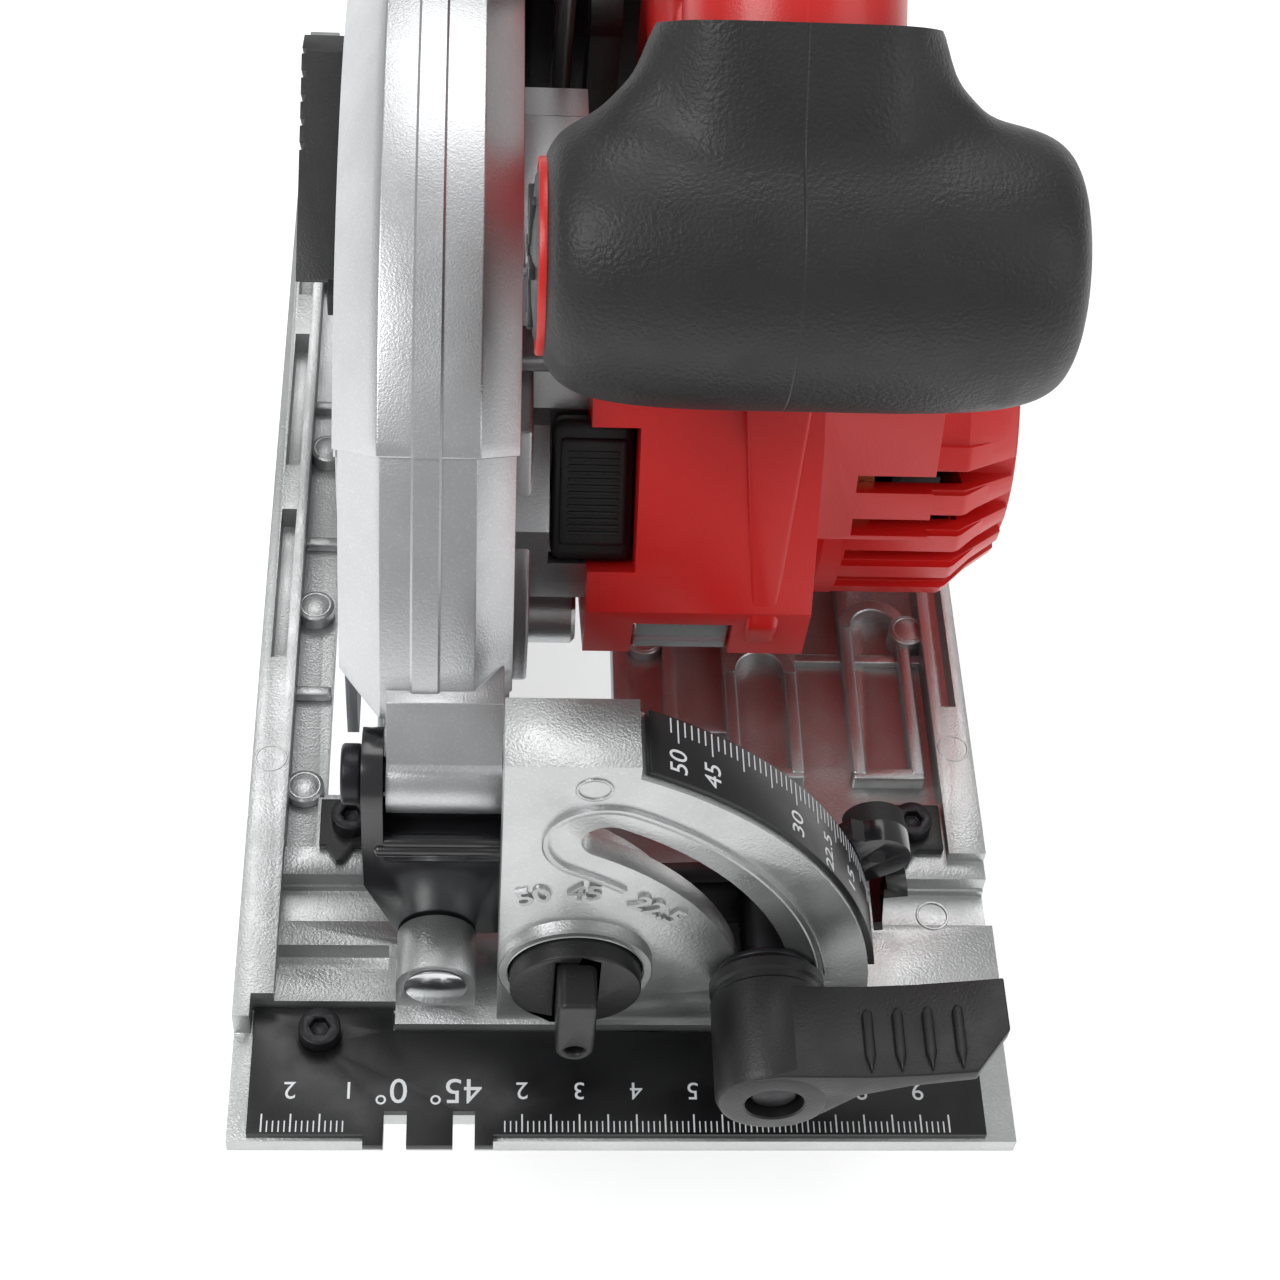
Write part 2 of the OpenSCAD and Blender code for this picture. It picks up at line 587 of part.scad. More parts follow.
housing_screw_points = [[160, 68], [182, 94], [100, 172], [208, 132]];
module housing_screws() {
  color(dark) for (k = [0 : 3]) let (p = housing_screw_points[k], face = k < 2 ? 72 : mid_x + handle_w / 2)
    translate([face - 0.2, p[0], p[1]]) difference() {
      rod_x(2.2, -2.6, 0);
      rod_x(1.2, -1.2, 1);
    }
}
grip_start = [grip_y, grip_z];
neck_end = [grip_y + 30, grip_z + 33];
bar_z = handle_top - 15;
module handle_limbs(r) {
  limb(neck_end, [196, bar_z], r);
  limb([196, bar_z], [213, 122], r);
  limb([grip_y + 14, grip_z + 15.4], neck_end, r);
}
module handle_shape(inset) {
  difference() {
    plate_x(mid_x - handle_w / 2 + inset, mid_x + handle_w / 2 - inset) union() {
      handle_limbs(15 - inset);
      polygon([[motor_y + 12, 104.1 + inset], [235 - inset, 104.1 + inset], [235 - inset, 118 - inset],
        [120, 118 - inset], [motor_y - 4 + inset, 150], [motor_y - 28, 150], [motor_y - 22, 104.1 + inset]]);
    }
    front_grip_shape();
  }
}
module front_grip_shape() {
  translate([0, grip_y, grip_z]) rotate([0, 90, 0]) rotate_extrude() polygon([[0, grip_x0 - 0.2],
    [grip_r - 6, grip_x0 - 0.2], [grip_r - 1.5, grip_x0 + 6], [grip_r, grip_x0 + 22],
    [grip_r, grip_x0 + grip_len - 22], [grip_r - 1.5, grip_x0 + grip_len - 6],
    [grip_r - 6, grip_x0 + grip_len], [0, grip_x0 + grip_len]]);
  plate_x(mid_x - handle_w / 2 - 1, mid_x + handle_w / 2 + 1)
    limb(grip_start, [grip_y + 14, grip_z + 15.4], 16);
}
grip_x0 = 19.5;
rear_zone = [[0, 152, 150], [200, 240, 200]];
module handle_shell() {
  color(red) difference() {
    handle_shape(0);
    handle_shape(3);
    block(rear_zone[0], rear_zone[1]);
    block([mid_x - 8 - gap, 112, 150], [mid_x + 8 + gap, 140, 164]);
    translate([0, 118, bar_z]) rod_x(lock_off_r + gap, 30, mid_x - 10);
    at_motor() rod_x(motor_r + 0.1, 20, 100);
    plate_x(20, 100) polygon([[motor_y - 40, motor_z + 30], [motor_y - 22, motor_z + 48.2],
      [motor_y + 2, motor_z + 51.2], [motor_y + 12, 103.9], [motor_y, 60]]);
    for (p = housing_screw_points) translate([0, p[0], p[1]]) rod_x(2.2, 60, 80);
  }
}
module rear_overmould() {
  color(black) difference() {
    intersection() {
      handle_shape(0);
      block(rear_zone[0], rear_zone[1]);
    }
    handle_shape(3);
  }
}
module handle_overmould() {
  color(black) difference() {
    front_grip_shape();
    translate([0, grip_y, grip_z]) rod_x(15, grip_x0 - 1, grip_x0 + 2);
  }
}
module grip_end_cap() {
  color(red) translate([0, grip_y, grip_z]) difference() {
    rod_x(14.9, grip_x0 - 0.8, grip_x0 + 2);
    tube_x(12.6, 11.4, grip_x0 - 1, grip_x0 - 0.2);
  }
}
module led_lens() {
  color(clear) block([39, motor_y - 51.6, 42], [56, motor_y - 47.5, motor_z - 3]);
}
module led_board() { color(green) block([40, motor_y - 47.3, 43], [55, motor_y - 46, motor_z - 4]); }
module stator() { color(copper) at_motor() tube_x(motor_r - housing_wall - 2 * seat, 18.5, 48, 82); }
module motor_bearings() {
  color(steel) at_motor() {
    tube_x(8 - seat, shaft_d / 2 + fit, 31, 35.5);
    tube_x(8 - seat, shaft_d / 2 + fit, 99.5, 103.5);
  }
}
module spindle_bearings() {
  color(steel) at_arbor() {
    tube_x(14 - seat, arbor_d / 2 + fit, snout_x + 1.4, 12.6);
    tube_x(11 - seat, arbor_d / 2 + fit, 30.4, 34.6);
  }
}
module switch_body() { color(dark) block([mid_x - 8, 116, bar_z - 3.5], [mid_x + 8, 150, bar_z + 5]); }
module control_board() { color(green) block([46, 152, 64], [68, pack_y - 5, 66]); }
base_x = [26, 88];
base_z = pack_z + pack_h;
module battery_base() {
  color(black) {
    block([base_x[0], pack_y, base_z + gap], [base_x[1], pack_y + 46, 104]);
    for (m = [0, 1]) translate([m * (base_x[0] + base_x[1]), 0, 0]) mirror([m, 0, 0]) {
      block([base_x[0], pack_y, base_z - 9], [base_x[0] + 4, pack_y + 46, base_z + gap + eps]);
      block([base_x[0] + 4 - eps, pack_y, base_z - 9], [base_x[0] + 7, pack_y + 46, base_z - 6]);
    }
  }
}
module terminal_block() {
  color(dark) block([mid_x - 8, pack_y + 1, base_z - 4], [mid_x + 8, pack_y + 26, base_z + gap]);
}
module battery_pack() {
  x0 = mid_x - pack_w / 2;
  rail_y = pack_y + 46.4;
  color(dark) difference() {
    block([x0, pack_y + gap, pack_z], [x0 + pack_w, pack_y + pack_len, base_z]);
    for (m = [0, 1]) translate([m * 2 * mid_x, 0, 0]) mirror([m, 0, 0]) {
      block([base_x[0] - gap, pack_y - 1, base_z - 9 - gap], [base_x[0] + 4 + gap, rail_y, base_z + 1]);
      block([base_x[0] + 4, pack_y - 1, base_z - 9 - gap], [base_x[0] + 7 + gap, rail_y, base_z - 6 + gap]);
      block([x0 - 1, pack_y + 56 - gap, pack_z + 16 - gap], [x0 + 6, pack_y + 78 + gap, pack_z + 34 + gap]);
    }
    block([mid_x - 8 - gap, pack_y - 1, base_z - 4 - gap], [mid_x + 8 + gap, pack_y + 27, base_z + 1]);
  }
}
module latch() {
  x0 = mid_x - pack_w / 2;
  color(red) block([x0 - 1.2, pack_y + 56, pack_z + 16], [x0 + 3, pack_y + 78, pack_z + 34]);
}
module battery_latch_left() { latch(); }
module battery_latch_right() { translate([2 * mid_x, 0, 0]) mirror([1, 0, 0]) latch(); }
module guard_screws() {
  color(dark) on_guard_screws() rod_x(2, guard_right - guard_wall + 0.1, 27);
}
module guard_spring() { color(steel) at_arbor() tube_x(23.6, snout_r + 0.6, 12.4, 16.4); }
bumper_a = 146;
module guard_bumper() {
  color(dark) at_arbor() plate_x(3, 8) sector(82, guard_r - guard_wall - 0.1, bumper_a, bumper_a + 4);
}
module lock_button() {
  color(black) at_lock() difference() {
    union() {
      translate([23.6, -12.8, 63]) cube([lock_w, 25.6, lock_face - 63]);
      translate([lock_x, 0, 12]) cylinder(r = 1.9, h = 52);
    }
    for (k = [0 : 14]) translate([25.4, -8.4 + 1.2 * k, lock_face - 0.6]) cube([lock_w - 3.6, 0.5, 1]);
  }
}
module lock_spring() {
  color(steel) at_lock() translate([lock_x, 0, 50.2]) difference() {
    cylinder(r = 4.2, h = 10);
    translate([0, 0, -1]) cylinder(r = 2.4, h = 12);
  }
}
module trigger() {
  color(black) difference() {
    block([mid_x - 8, 112 + gap, 151], [mid_x + 8, 140 - gap, 163.4]);
    translate([0, 126, 139]) rod_x(17, mid_x - 9, mid_x + 9);
  }
}
module lock_off_button() {
  color(black) translate([0, 118, bar_z]) rod_x(lock_off_r, mid_x - handle_w / 2 - 3, mid_x - 11);
}
module depth_bolt() {
  color(steel) translate([0, clamp_y, clamp_z]) {
    rod_x(3, guard_right - guard_wall, 38);
    rod_x(6, guard_right - guard_wall - 2.4, guard_right - guard_wall);
  }
}
module depth_lever() {
  color(black) translate([0, clamp_y, clamp_z]) difference() {
    union() {
      rod_x(8, arc_x[1] + gap, 36.5);
      plate_x(30.5, 36.5) limb([0, 0], [-10, 38], 6);
    }
    rod_x(3 + fit, 20, 40);
  }
}

/* Blade and drive group */
plate_x1 = -0.4;
plate_x0 = plate_x1 - blade_plate_t;
flange_r = 20;
module blade() {
  r = blade_d / 2;
  step = 360 / blade_teeth;
  color(steel) at_arbor() difference() {
    union() {
      plate_x(plate_x0, plate_x1) polygon([for (i = [0 : blade_teeth - 1],
        k = [[0, -0.6], [0.10, -1.2], [0.42, -3.4], [0.66, -9], [0.80, -11.5], [0.93, -9], [0.99, -4]])
        let (a = (i + k[0]) * step) [cos(a), sin(a)] * (r + k[1])]);
      // Carbide tips, wider than the plate.
      plate_x(plate_x0 - 0.4, plate_x1 + 0.4) for (i = [0 : blade_teeth - 1]) rotate(i * step)
        polygon([[r - 6, -0.2], [r, 0], [r - 0.5, 1.6], [r - 6, 1.4]]);
    }
    rod_x(blade_bore_d / 2, -10, 10);
  }
}
module arbor() {
  color(steel) at_arbor() difference() {
    rod_x(arbor_d / 2, plate_x0 - 2.6, 34.8);
    rod_x(4, -20, 14);
  }
}
module inner_flange() {
  color(steel) at_arbor() difference() {
    union() {
      rod_x(flange_r, plate_x1, snout_x + 0.4);
      rod_x(blade_bore_d / 2, plate_x0 + 0.2, plate_x1 + eps);
    }
    rod_x(arbor_d / 2, -20, 20);
    tube_x(flange_r - 3, blade_bore_d / 2 + 1, plate_x1 - 1, plate_x1 + 0.8);
  }
}
module outer_flange() {
  color(steel) at_arbor() difference() {
    union() {
      rod_x(flange_r, plate_x0 - 2.6, plate_x0);
      rod_x(13, plate_x0 - 4.2, plate_x0 - 2.6 + eps);
    }
    rod_x(arbor_d / 2, plate_x0 - 2.6, 1);
    rod_x(4, -20, 1);
  }
}
module blade_bolt() {
  color(dark) at_arbor() {
    rod_x(4, plate_x0 - 4.2, 13);
    rod_x(9, plate_x0 - 5.8, plate_x0 - 4.2);
    plate_x(plate_x0 - 11, plate_x0 - 5.8 + eps) circle(d = 13 / cos(30), $fn = 6);
  }
}
module reduction_gear() {
  color(steel) at_arbor() difference() {
    plate_x(20.6, 25.8) rotate(180 - motor_a + 180 / gear_teeth) gear_outline(gear_teeth, gear_m);
    rod_x(arbor_d / 2, 10, 40);
  }
}
module motor_shaft() {
  color(steel) at_motor() {
    rod_x(shaft_d / 2, 20.6, 104);
    plate_x(20.6, 25.8) rotate(-motor_a) gear_outline(pinion_teeth, gear_m);
  }
}
module rotor_core() { color(steel) at_motor() tube_x(18, shaft_d / 2, 50, 80); }
module fan() {
  color(black) at_motor() {
    tube_x(7, shaft_d / 2, 86, 96);
    tube_x(29, 7, 86, 87.5);
    for (k = [0 : 10]) rotate([k * 360 / 11, 0, 0]) block([87.4, 10, -0.8], [95, 28, 0.8]);
  }
}

/* Lower guard group */
open_a0 = 221;
open_a1 = 355;
module lower_guard() {
  color(silver) at_arbor() difference() {
    union() {
      rotate([0, 90, 0]) rotate([0, 0, open_a0 + 90]) rotate_extrude(angle = open_a1 - open_a0, $fn = 180)
        polygon([[hub_in, -8.8], [87.5, -8.8], [98.8, -3.2], [98.8, 7.4], [96.3, 10.3], [hub_in, 10.3],
          [hub_in, 8.8], [95.5, 8.8], [97.4, 6.8], [97.4, -2.2], [86.8, -7.3], [hub_in, -7.3]]);
      rod_x(collar_r, -16.5, -7.9);
      rod_x(snout_r + 4.6, 7.5, 12);
    }
    rod_x(collar_r - 5, -20, -7);
    rod_x(snout_r + fit, 5, 14);
  }
}
collar_r = 27;
hub_in = 23.5;
lever_rise = 13.5;
module guard_lever() {
  color(black) at_arbor() difference() {
    union() {
      plate_x(-19, -16.5) intersection() {
        circle(collar_r);
        translate([5, lever_rise]) square([40, 40]);
      }
      plate_x(-25.5, -16.5) polygon([[12, 23.5], [54, 46.5], [62, 44], [66, 36], [21, lever_rise + 2]]);
    }
    rod_x(collar_r - 5, -30, -10);
    for (k = [0 : 4]) rotate([33, 0, 0]) translate([0, 50 + 5 * k, 0]) block([-26, 0, -30], [-24.7, 1.4, 30]);
  }
}

shoe();
front_scale();
bevel_scale();
shoe_screws();
fence_pointers();
front_bevel_pin();
rear_bevel_pin();
stop_dial();
stop_pusher();
tilt_bracket();
bevel_bolt();
bevel_pointer();
pivot_bolt();
depth_arc();
bevel_lever();
lever_washer();
upper_guard();
gear_case();
motor_housing();
handle_shell();
handle_overmould();
grip_end_cap();
rear_overmould();
led_lens();
led_board();
stator();
motor_bearings();
spindle_bearings();
switch_body();
control_board();
terminal_block();
housing_screws();
guard_screws();
guard_spring();
guard_bumper();
blade();
arbor();
inner_flange();
outer_flange();
blade_bolt();
reduction_gear();
motor_shaft();
rotor_core();
fan();
lower_guard();
guard_lever();
lock_button();
lock_spring();
trigger();
lock_off_button();
depth_bolt();
depth_lever();
battery_pack();
battery_latch_left();
battery_latch_right();
battery_base();
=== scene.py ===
"""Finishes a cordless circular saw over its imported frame: camera, light, finished pieces and surfaces."""
import json
import logging
import math
from contextlib import contextmanager
from dataclasses import dataclass, field
from enum import Enum
from typing import Iterator, Sequence

import bpy
from mathutils import Matrix, Vector


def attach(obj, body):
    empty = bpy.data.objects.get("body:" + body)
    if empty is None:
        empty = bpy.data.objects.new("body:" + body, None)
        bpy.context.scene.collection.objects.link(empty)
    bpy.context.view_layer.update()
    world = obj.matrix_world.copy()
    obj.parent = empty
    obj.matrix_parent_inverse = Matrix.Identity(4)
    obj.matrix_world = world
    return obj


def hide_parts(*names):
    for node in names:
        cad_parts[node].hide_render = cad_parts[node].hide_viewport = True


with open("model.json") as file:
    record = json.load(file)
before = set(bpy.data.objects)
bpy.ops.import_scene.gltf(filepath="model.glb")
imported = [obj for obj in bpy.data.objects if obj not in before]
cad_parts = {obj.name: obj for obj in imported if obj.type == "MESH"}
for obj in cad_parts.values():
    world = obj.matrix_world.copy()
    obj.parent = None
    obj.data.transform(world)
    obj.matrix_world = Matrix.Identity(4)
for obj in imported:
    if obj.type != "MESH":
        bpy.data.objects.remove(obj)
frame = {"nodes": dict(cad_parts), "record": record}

logging.basicConfig(level=logging.INFO, format="%(message)s")
log = logging.getLogger("saw")

MM = 0.001
Point2 = tuple[float, float]
Point3 = tuple[float, float, float]
ARBOR: Point2 = (128.0, 29.0)
MOTOR: Point2 = (110.45, 53.33)
BUMP_DEPTH = 0.0003
NODE_WELD = 0.003
SPIN_WELD = 0.002
FLAT_ANGLE = 0.4
FIGURE_SCALE = 1.38
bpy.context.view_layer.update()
BODY_OF = {node: body for body, nodes in frame["record"]["behaviour"]["bodies"].items() for node in nodes}
SLOT_OF = {row["node"]: row["material_slot"] for row in frame["record"]["subparts"]}


class Axis(Enum):
    """The direction that a plate is raised along or a turned piece turns about."""

    X = 0
    Y = 1
    Z = 2

    def spot(self, along: float, u: float, v: float) -> Vector:
        """A point in metres from its place along the axis and across it, in millimetres."""
        order = {Axis.X: (along, u, v), Axis.Y: (u, along, v), Axis.Z: (u, v, along)}[self]
        return Vector(order) * MM

    def step(self, length: float) -> Vector:
        """A move of that many millimetres along the axis."""
        return self.spot(length, 0.0, 0.0)

    @property
    def unit(self) -> Vector:
        """The axis as a unit vector."""
        return Vector([1.0 if index == self.value else 0.0 for index in range(3)])


# ---------------------------------------------------------------- finishes
class NodeSheet:
    """A small helper that lays shader nodes and joins them."""

    def __init__(self, name: str) -> None:
        """Starts an empty material.

        Args:
            name: the material's name.
        """
        self.material = bpy.data.materials.new(name)
        self.material.use_nodes = True
        self.tree = self.material.node_tree
        self.tree.nodes.clear()
        self.output = self.tree.nodes.new("ShaderNodeOutputMaterial")
        self.place = self.add("ShaderNodeTexCoord").outputs["Object"]

    def add(self, kind: str, settings: dict | None = None, **inputs: object) -> bpy.types.Node:
        """Adds a node, sets its own settings and fills its inputs.

        Args:
            kind: the node's type.
            settings: the node's properties.
            inputs: values or sockets by input name, with underscores for spaces.

        Returns:
            The new node.
        """
        node = self.tree.nodes.new(kind)
        for key, value in (settings or {}).items():
            setattr(node, key, value)
        for key, value in inputs.items():
            numbered = key[0] == "i" and key[1:].isdigit()
            socket = node.inputs[int(key[1:]) if numbered else key.replace("_", " ")]
            if isinstance(value, bpy.types.NodeSocket):
                self.tree.links.new(value, socket)
            else:
                socket.default_value = value
        return node

    def math(self, operation: str, first: object, second: object = 0.0) -> bpy.types.NodeSocket:
        """A math node's result."""
        return self.add("ShaderNodeMath", {"operation": operation}, i0=first, i1=second).outputs[0]

    def noise(self, scale: float, detail: float = 3.0, place: object = None) -> bpy.types.NodeSocket:
        """A noise value with that many cells per metre."""
        return self.add("ShaderNodeTexNoise", None, Vector=place or self.place, Scale=scale,
                        Detail=detail).outputs["Fac"]

    def spread(self, value: object, low: float, high: float, source: Point2 = (0.3, 0.7)) -> bpy.types.NodeSocket:
        """Maps a noise value onto a range."""
        return self.add("ShaderNodeMapRange", None, Value=value, From_Min=source[0], From_Max=source[1],
                        To_Min=low, To_Max=high).outputs[0]

    def blend(self, factor: object, first: object, second: object) -> bpy.types.NodeSocket:
        """A mix of two colours."""
        return self.add("ShaderNodeMix", {"data_type": "RGBA"}, i0=factor, i6=first, i7=second).outputs[2]


def shade(colour: Point3, factor: float) -> tuple[float, float, float, float]:
    """A colour made lighter or darker, with its alpha."""
    return (*[min(1.0, channel * factor) for channel in colour], 1.0)


@dataclass(frozen=True)
class Finish:
    """A surface with a wandering tone, a fine relief and an uneven gloss."""

    name: str
    colour: Point3
    metallic: float = 0.0
    roughness: float = 0.5
    tone: float = 0.06
    patch: float = 45.0
    grain: float = 1600.0
    relief: float = 0.12
    gloss_spread: float = 0.06
    coat: float = 0.0
    fleck: float = 0.0
    fleck_share: float = 0.86
    coat_roughness: float = 0.18

    def relief_height(self, sheet: NodeSheet) -> bpy.types.NodeSocket:
        """The height that the bump is taken from."""
        return sheet.noise(self.grain, 2.0)

    def tint(self, sheet: NodeSheet) -> bpy.types.NodeSocket:
        """The base colour, wandering between two near tones."""
        wander = sheet.spread(sheet.noise(self.patch, 4.0), 0.0, 1.0)
        tone = sheet.blend(wander, shade(self.colour, 1.0 - self.tone), shade(self.colour, 1.0 + self.tone))
        if self.fleck:
            cells = sheet.add("ShaderNodeTexVoronoi", None, Vector=sheet.place,
                              Scale=self.grain * 1.3).outputs["Color"]
            spark = sheet.math("GREATER_THAN", sheet.add("ShaderNodeSeparateColor", None, Color=cells).outputs[0],
                               self.fleck_share)
            tone = sheet.blend(sheet.math("MULTIPLY", spark, self.fleck), tone, shade(self.colour, 1.5))
        return tone

    def material(self) -> bpy.types.Material:
        """Makes the material, or gives the one already made.

        Returns:
            The material of this finish.
        """
        known = bpy.data.materials.get(self.name)
        if known:
            return known
        sheet = NodeSheet(self.name)
        gloss = sheet.spread(sheet.noise(self.patch * 3.1, 3.0), self.roughness - self.gloss_spread,
                             self.roughness + self.gloss_spread)
        bump = sheet.add("ShaderNodeBump", None, Strength=self.relief, Distance=BUMP_DEPTH,
                         Height=self.relief_height(sheet))
        surface = sheet.add("ShaderNodeBsdfPrincipled", None, Base_Color=self.tint(sheet), Metallic=self.metallic,
                            Roughness=gloss, Normal=bump.outputs[0], Coat_Weight=self.coat)
        surface.inputs["Coat Roughness"].default_value = self.coat_roughness
        sheet.tree.links.new(surface.outputs[0], sheet.output.inputs["Surface"])
        return sheet.material


@dataclass(frozen=True)
class SeamedFinish(Finish):
    """A moulded surface with a fine parting line on one plane across the saw."""

    seam_x: float = 57.0
    seam_half: float = 0.22

    def relief_height(self, sheet: NodeSheet) -> bpy.types.NodeSocket:
        """The grain, cut by the parting line."""
        across = sheet.add("ShaderNodeSeparateXYZ", None, Vector=sheet.place).outputs[0]
        away = sheet.math("ABSOLUTE", sheet.math("SUBTRACT", across, self.seam_x * MM))
        line = sheet.add("ShaderNodeMapRange", None, Value=away, From_Min=0.0, From_Max=self.seam_half * MM,
                         To_Min=-1.2, To_Max=0.0).outputs[0]
        return sheet.math("ADD", sheet.noise(self.grain, 2.0), line)


@dataclass(frozen=True)
class TurnedFinish(Finish):
    """Machined metal with fine rings about an axis along the saw's width."""

    centre: Point2 = ARBOR
    ring_scale: float = 2600.0

    def relief_height(self, sheet: NodeSheet) -> bpy.types.NodeSocket:
        """Rings about the centre, as a lathe or grinder leaves them."""
        shift = (0.0, -self.centre[0] * MM, -self.centre[1] * MM)
        centred = sheet.add("ShaderNodeMapping", None, Vector=sheet.place, Location=shift, Scale=(0.0, 1.0, 1.0))
        radius = sheet.add("ShaderNodeVectorMath", {"operation": "LENGTH"}, i0=centred.outputs[0]).outputs["Value"]
        rings = sheet.add("ShaderNodeTexNoise", {"noise_dimensions": "1D"}, W=radius, Scale=self.ring_scale,
                          Detail=2.0)
        return rings.outputs["Fac"]


@dataclass(frozen=True)
class ClearFinish(Finish):
    """Clear moulded plastic."""

    clearness: float = 0.75
    index: float = 1.49

    def material(self) -> bpy.types.Material:
        """Makes the clear material, or gives the one already made."""
        known = bpy.data.materials.get(self.name)
        if known:
            return known
        sheet = NodeSheet(self.name)
        bump = sheet.add("ShaderNodeBump", None, Strength=self.relief, Distance=BUMP_DEPTH,
                         Height=self.relief_height(sheet))
        surface = sheet.add("ShaderNodeBsdfPrincipled", None, Base_Color=self.tint(sheet), Roughness=self.roughness,
                            Normal=bump.outputs[0])
        surface.inputs["Transmission Weight"].default_value = self.clearness
        surface.inputs["IOR"].default_value = self.index
        sheet.tree.links.new(surface.outputs[0], sheet.output.inputs["Surface"])
        return sheet.material


CAST_SILVER = Finish("cast_silver_paint", (0.56, 0.57, 0.58), 0.9, 0.34, 0.05, 30.0, 2600.0, 0.16, 0.05, 0.0, 0.16)
CAST_SHOE = Finish("cast_shoe_alloy", (0.53, 0.54, 0.54), 0.88, 0.38, 0.08, 38.0, 2200.0, 0.26, 0.07, 0.0, 0.14)
MACHINED = TurnedFinish("machined_steel", (0.60, 0.61, 0.62), 1.0, 0.26, 0.05, 60.0, 1800.0, 0.10)
GROUND_PIN = Finish("ground_pin_steel", (0.70, 0.71, 0.72), 1.0, 0.20, 0.05, 80.0, 2400.0, 0.06)
BLACKED = Finish("blacked_screw_steel", (0.022, 0.022, 0.025), 0.6, 0.36, 0.15, 120.0, 2200.0, 0.12)
GLOSS_BLACK = Finish("black_lacquered_steel", (0.012, 0.012, 0.014), 0.0, 0.22, 0.15, 50.0, 900.0, 0.05, 0.05, 0.5)
BLADE_STEEL = TurnedFinish("ground_blade_steel", (0.55, 0.56, 0.58), 1.0, 0.30, 0.06, 50.0, 1500.0, 0.16)
SCALE_BLACK = Finish("printed_scale_black", (0.006, 0.006, 0.007), 0.0, 0.36, 0.12, 60.0, 2000.0, 0.06)
PRINT_WHITE = Finish("printed_white", (0.78, 0.80, 0.82), 0.0, 0.5, 0.04, 300.0, 3000.0, 0.05)
BLACK_PLASTIC = Finish("moulded_black_plastic", (0.011, 0.011, 0.012), 0.0, 0.42, 0.12, 55.0, 2100.0, 0.20)
RED_PLASTIC = Finish("moulded_red_plastic", (0.62, 0.012, 0.010), 0.0, 0.34, 0.07, 35.0, 2300.0, 0.14, 0.05, 0.12)
RED_SHELL = SeamedFinish("moulded_red_shell", (0.62, 0.012, 0.010), 0.0, 0.34, 0.07, 35.0, 2300.0, 0.14, 0.05, 0.12)
OVERMOULD = SeamedFinish("soft_black_overmould", (0.013, 0.0125, 0.013), 0.0, 0.47, 0.22, 48.0, 1500.0, 0.55, 0.07)
CLEAR = ClearFinish("clear_lens", (0.86, 0.88, 0.92), 0.0, 0.10, 0.04, 60.0, 900.0, 0.10)
BOARD = Finish("board_green", (0.03, 0.16, 0.07), 0.0, 0.42, 0.2, 180.0, 1500.0, 0.2)
COPPER = Finish("varnished_copper", (0.65, 0.30, 0.13), 0.9, 0.35, 0.2, 250.0, 1200.0, 0.5)
RUBBER = Finish("rubber_black", (0.02, 0.02, 0.02), 0.0, 0.75, 0.15, 90.0, 1300.0, 0.3)


# ---------------------------------------------------------------- bench
def clear_selection() -> None:
    """Leaves nothing selected."""
    for item in list(bpy.context.selected_objects):
        item.select_set(False)


def take(piece: bpy.types.Object) -> bpy.types.Object:
    """Selects one piece alone and makes it active.

    Args:
        piece: the piece to work on.

    Returns:
        The piece.
    """
    clear_selection()
    piece.select_set(True)
    bpy.context.view_layer.objects.active = piece
    return piece


@contextmanager
def editing(piece: bpy.types.Object) -> Iterator[None]:
    """Edit mode on one piece, with all of it selected.

    Args:
        piece: the piece to edit.
    """
    take(piece)
    bpy.ops.object.mode_set(mode="EDIT")
    bpy.ops.mesh.select_mode(type="VERT")
    bpy.ops.mesh.select_all(action="SELECT")
    yield
    bpy.ops.object.mode_set(mode="OBJECT")


def modify(piece: bpy.types.Object, kind: str, **settings: object) -> bpy.types.Object:
    """Adds a modifier and applies it.

    Args:
        piece: the piece to change.
        kind: the modifier's type.
        settings: the modifier's properties.

    Returns:
        The piece.
    """
    take(piece)
    modifier = piece.modifiers.new(kind.lower(), kind)
    for key, value in settings.items():
        setattr(modifier, key, value)
    bpy.ops.object.modifier_apply(modifier=modifier.name)
    return piece


def rounded(piece: bpy.types.Object, width: float, segments: int = 2, angle: float = 30.0) -> bpy.types.Object:
    """Rounds every edge sharper than the angle by that many millimetres."""
    return modify(piece, "BEVEL", width=width * MM, segments=segments, limit_method="ANGLE",
                  angle_limit=math.radians(angle), use_clamp_overlap=True)


def smoothed(piece: bpy.types.Object, angle: float = 35.0) -> bpy.types.Object:
    """Smooth shading that keeps edges sharper than the angle.

    Args:
        piece: the piece to shade.
        angle: the angle, in degrees.

    Returns:
        The piece.
    """
    take(piece)
    bpy.ops.object.shade_smooth_by_angle(angle=math.radians(angle))
    return piece


def plate(name: str, outline: Sequence[Point2], axis: Axis, low: float, high: float) -> bpy.types.Object:
    """A flat plate, from a circle of as many corners set to the outline and raised.

    Args:
        name: the piece's name.
        outline: corners across the axis, in millimetres.
        axis: the direction of the thickness.
        low: the lower face's place along the axis.
        high: the upper face's place along the axis.

    Returns:
        The plate.
    """
    clear_selection()
    bpy.ops.mesh.primitive_circle_add(vertices=len(outline), fill_type="NGON")
    piece = bpy.context.object
    piece.name = name
    for corner, (u, v) in zip(piece.data.vertices, outline):
        corner.co = axis.spot(low, u, v)
    with editing(piece):
        bpy.ops.mesh.extrude_region_move(TRANSFORM_OT_translate={"value": axis.step(high - low)})
        bpy.ops.mesh.select_all(action="SELECT")
        bpy.ops.mesh.normals_make_consistent(inside=False)
    return piece


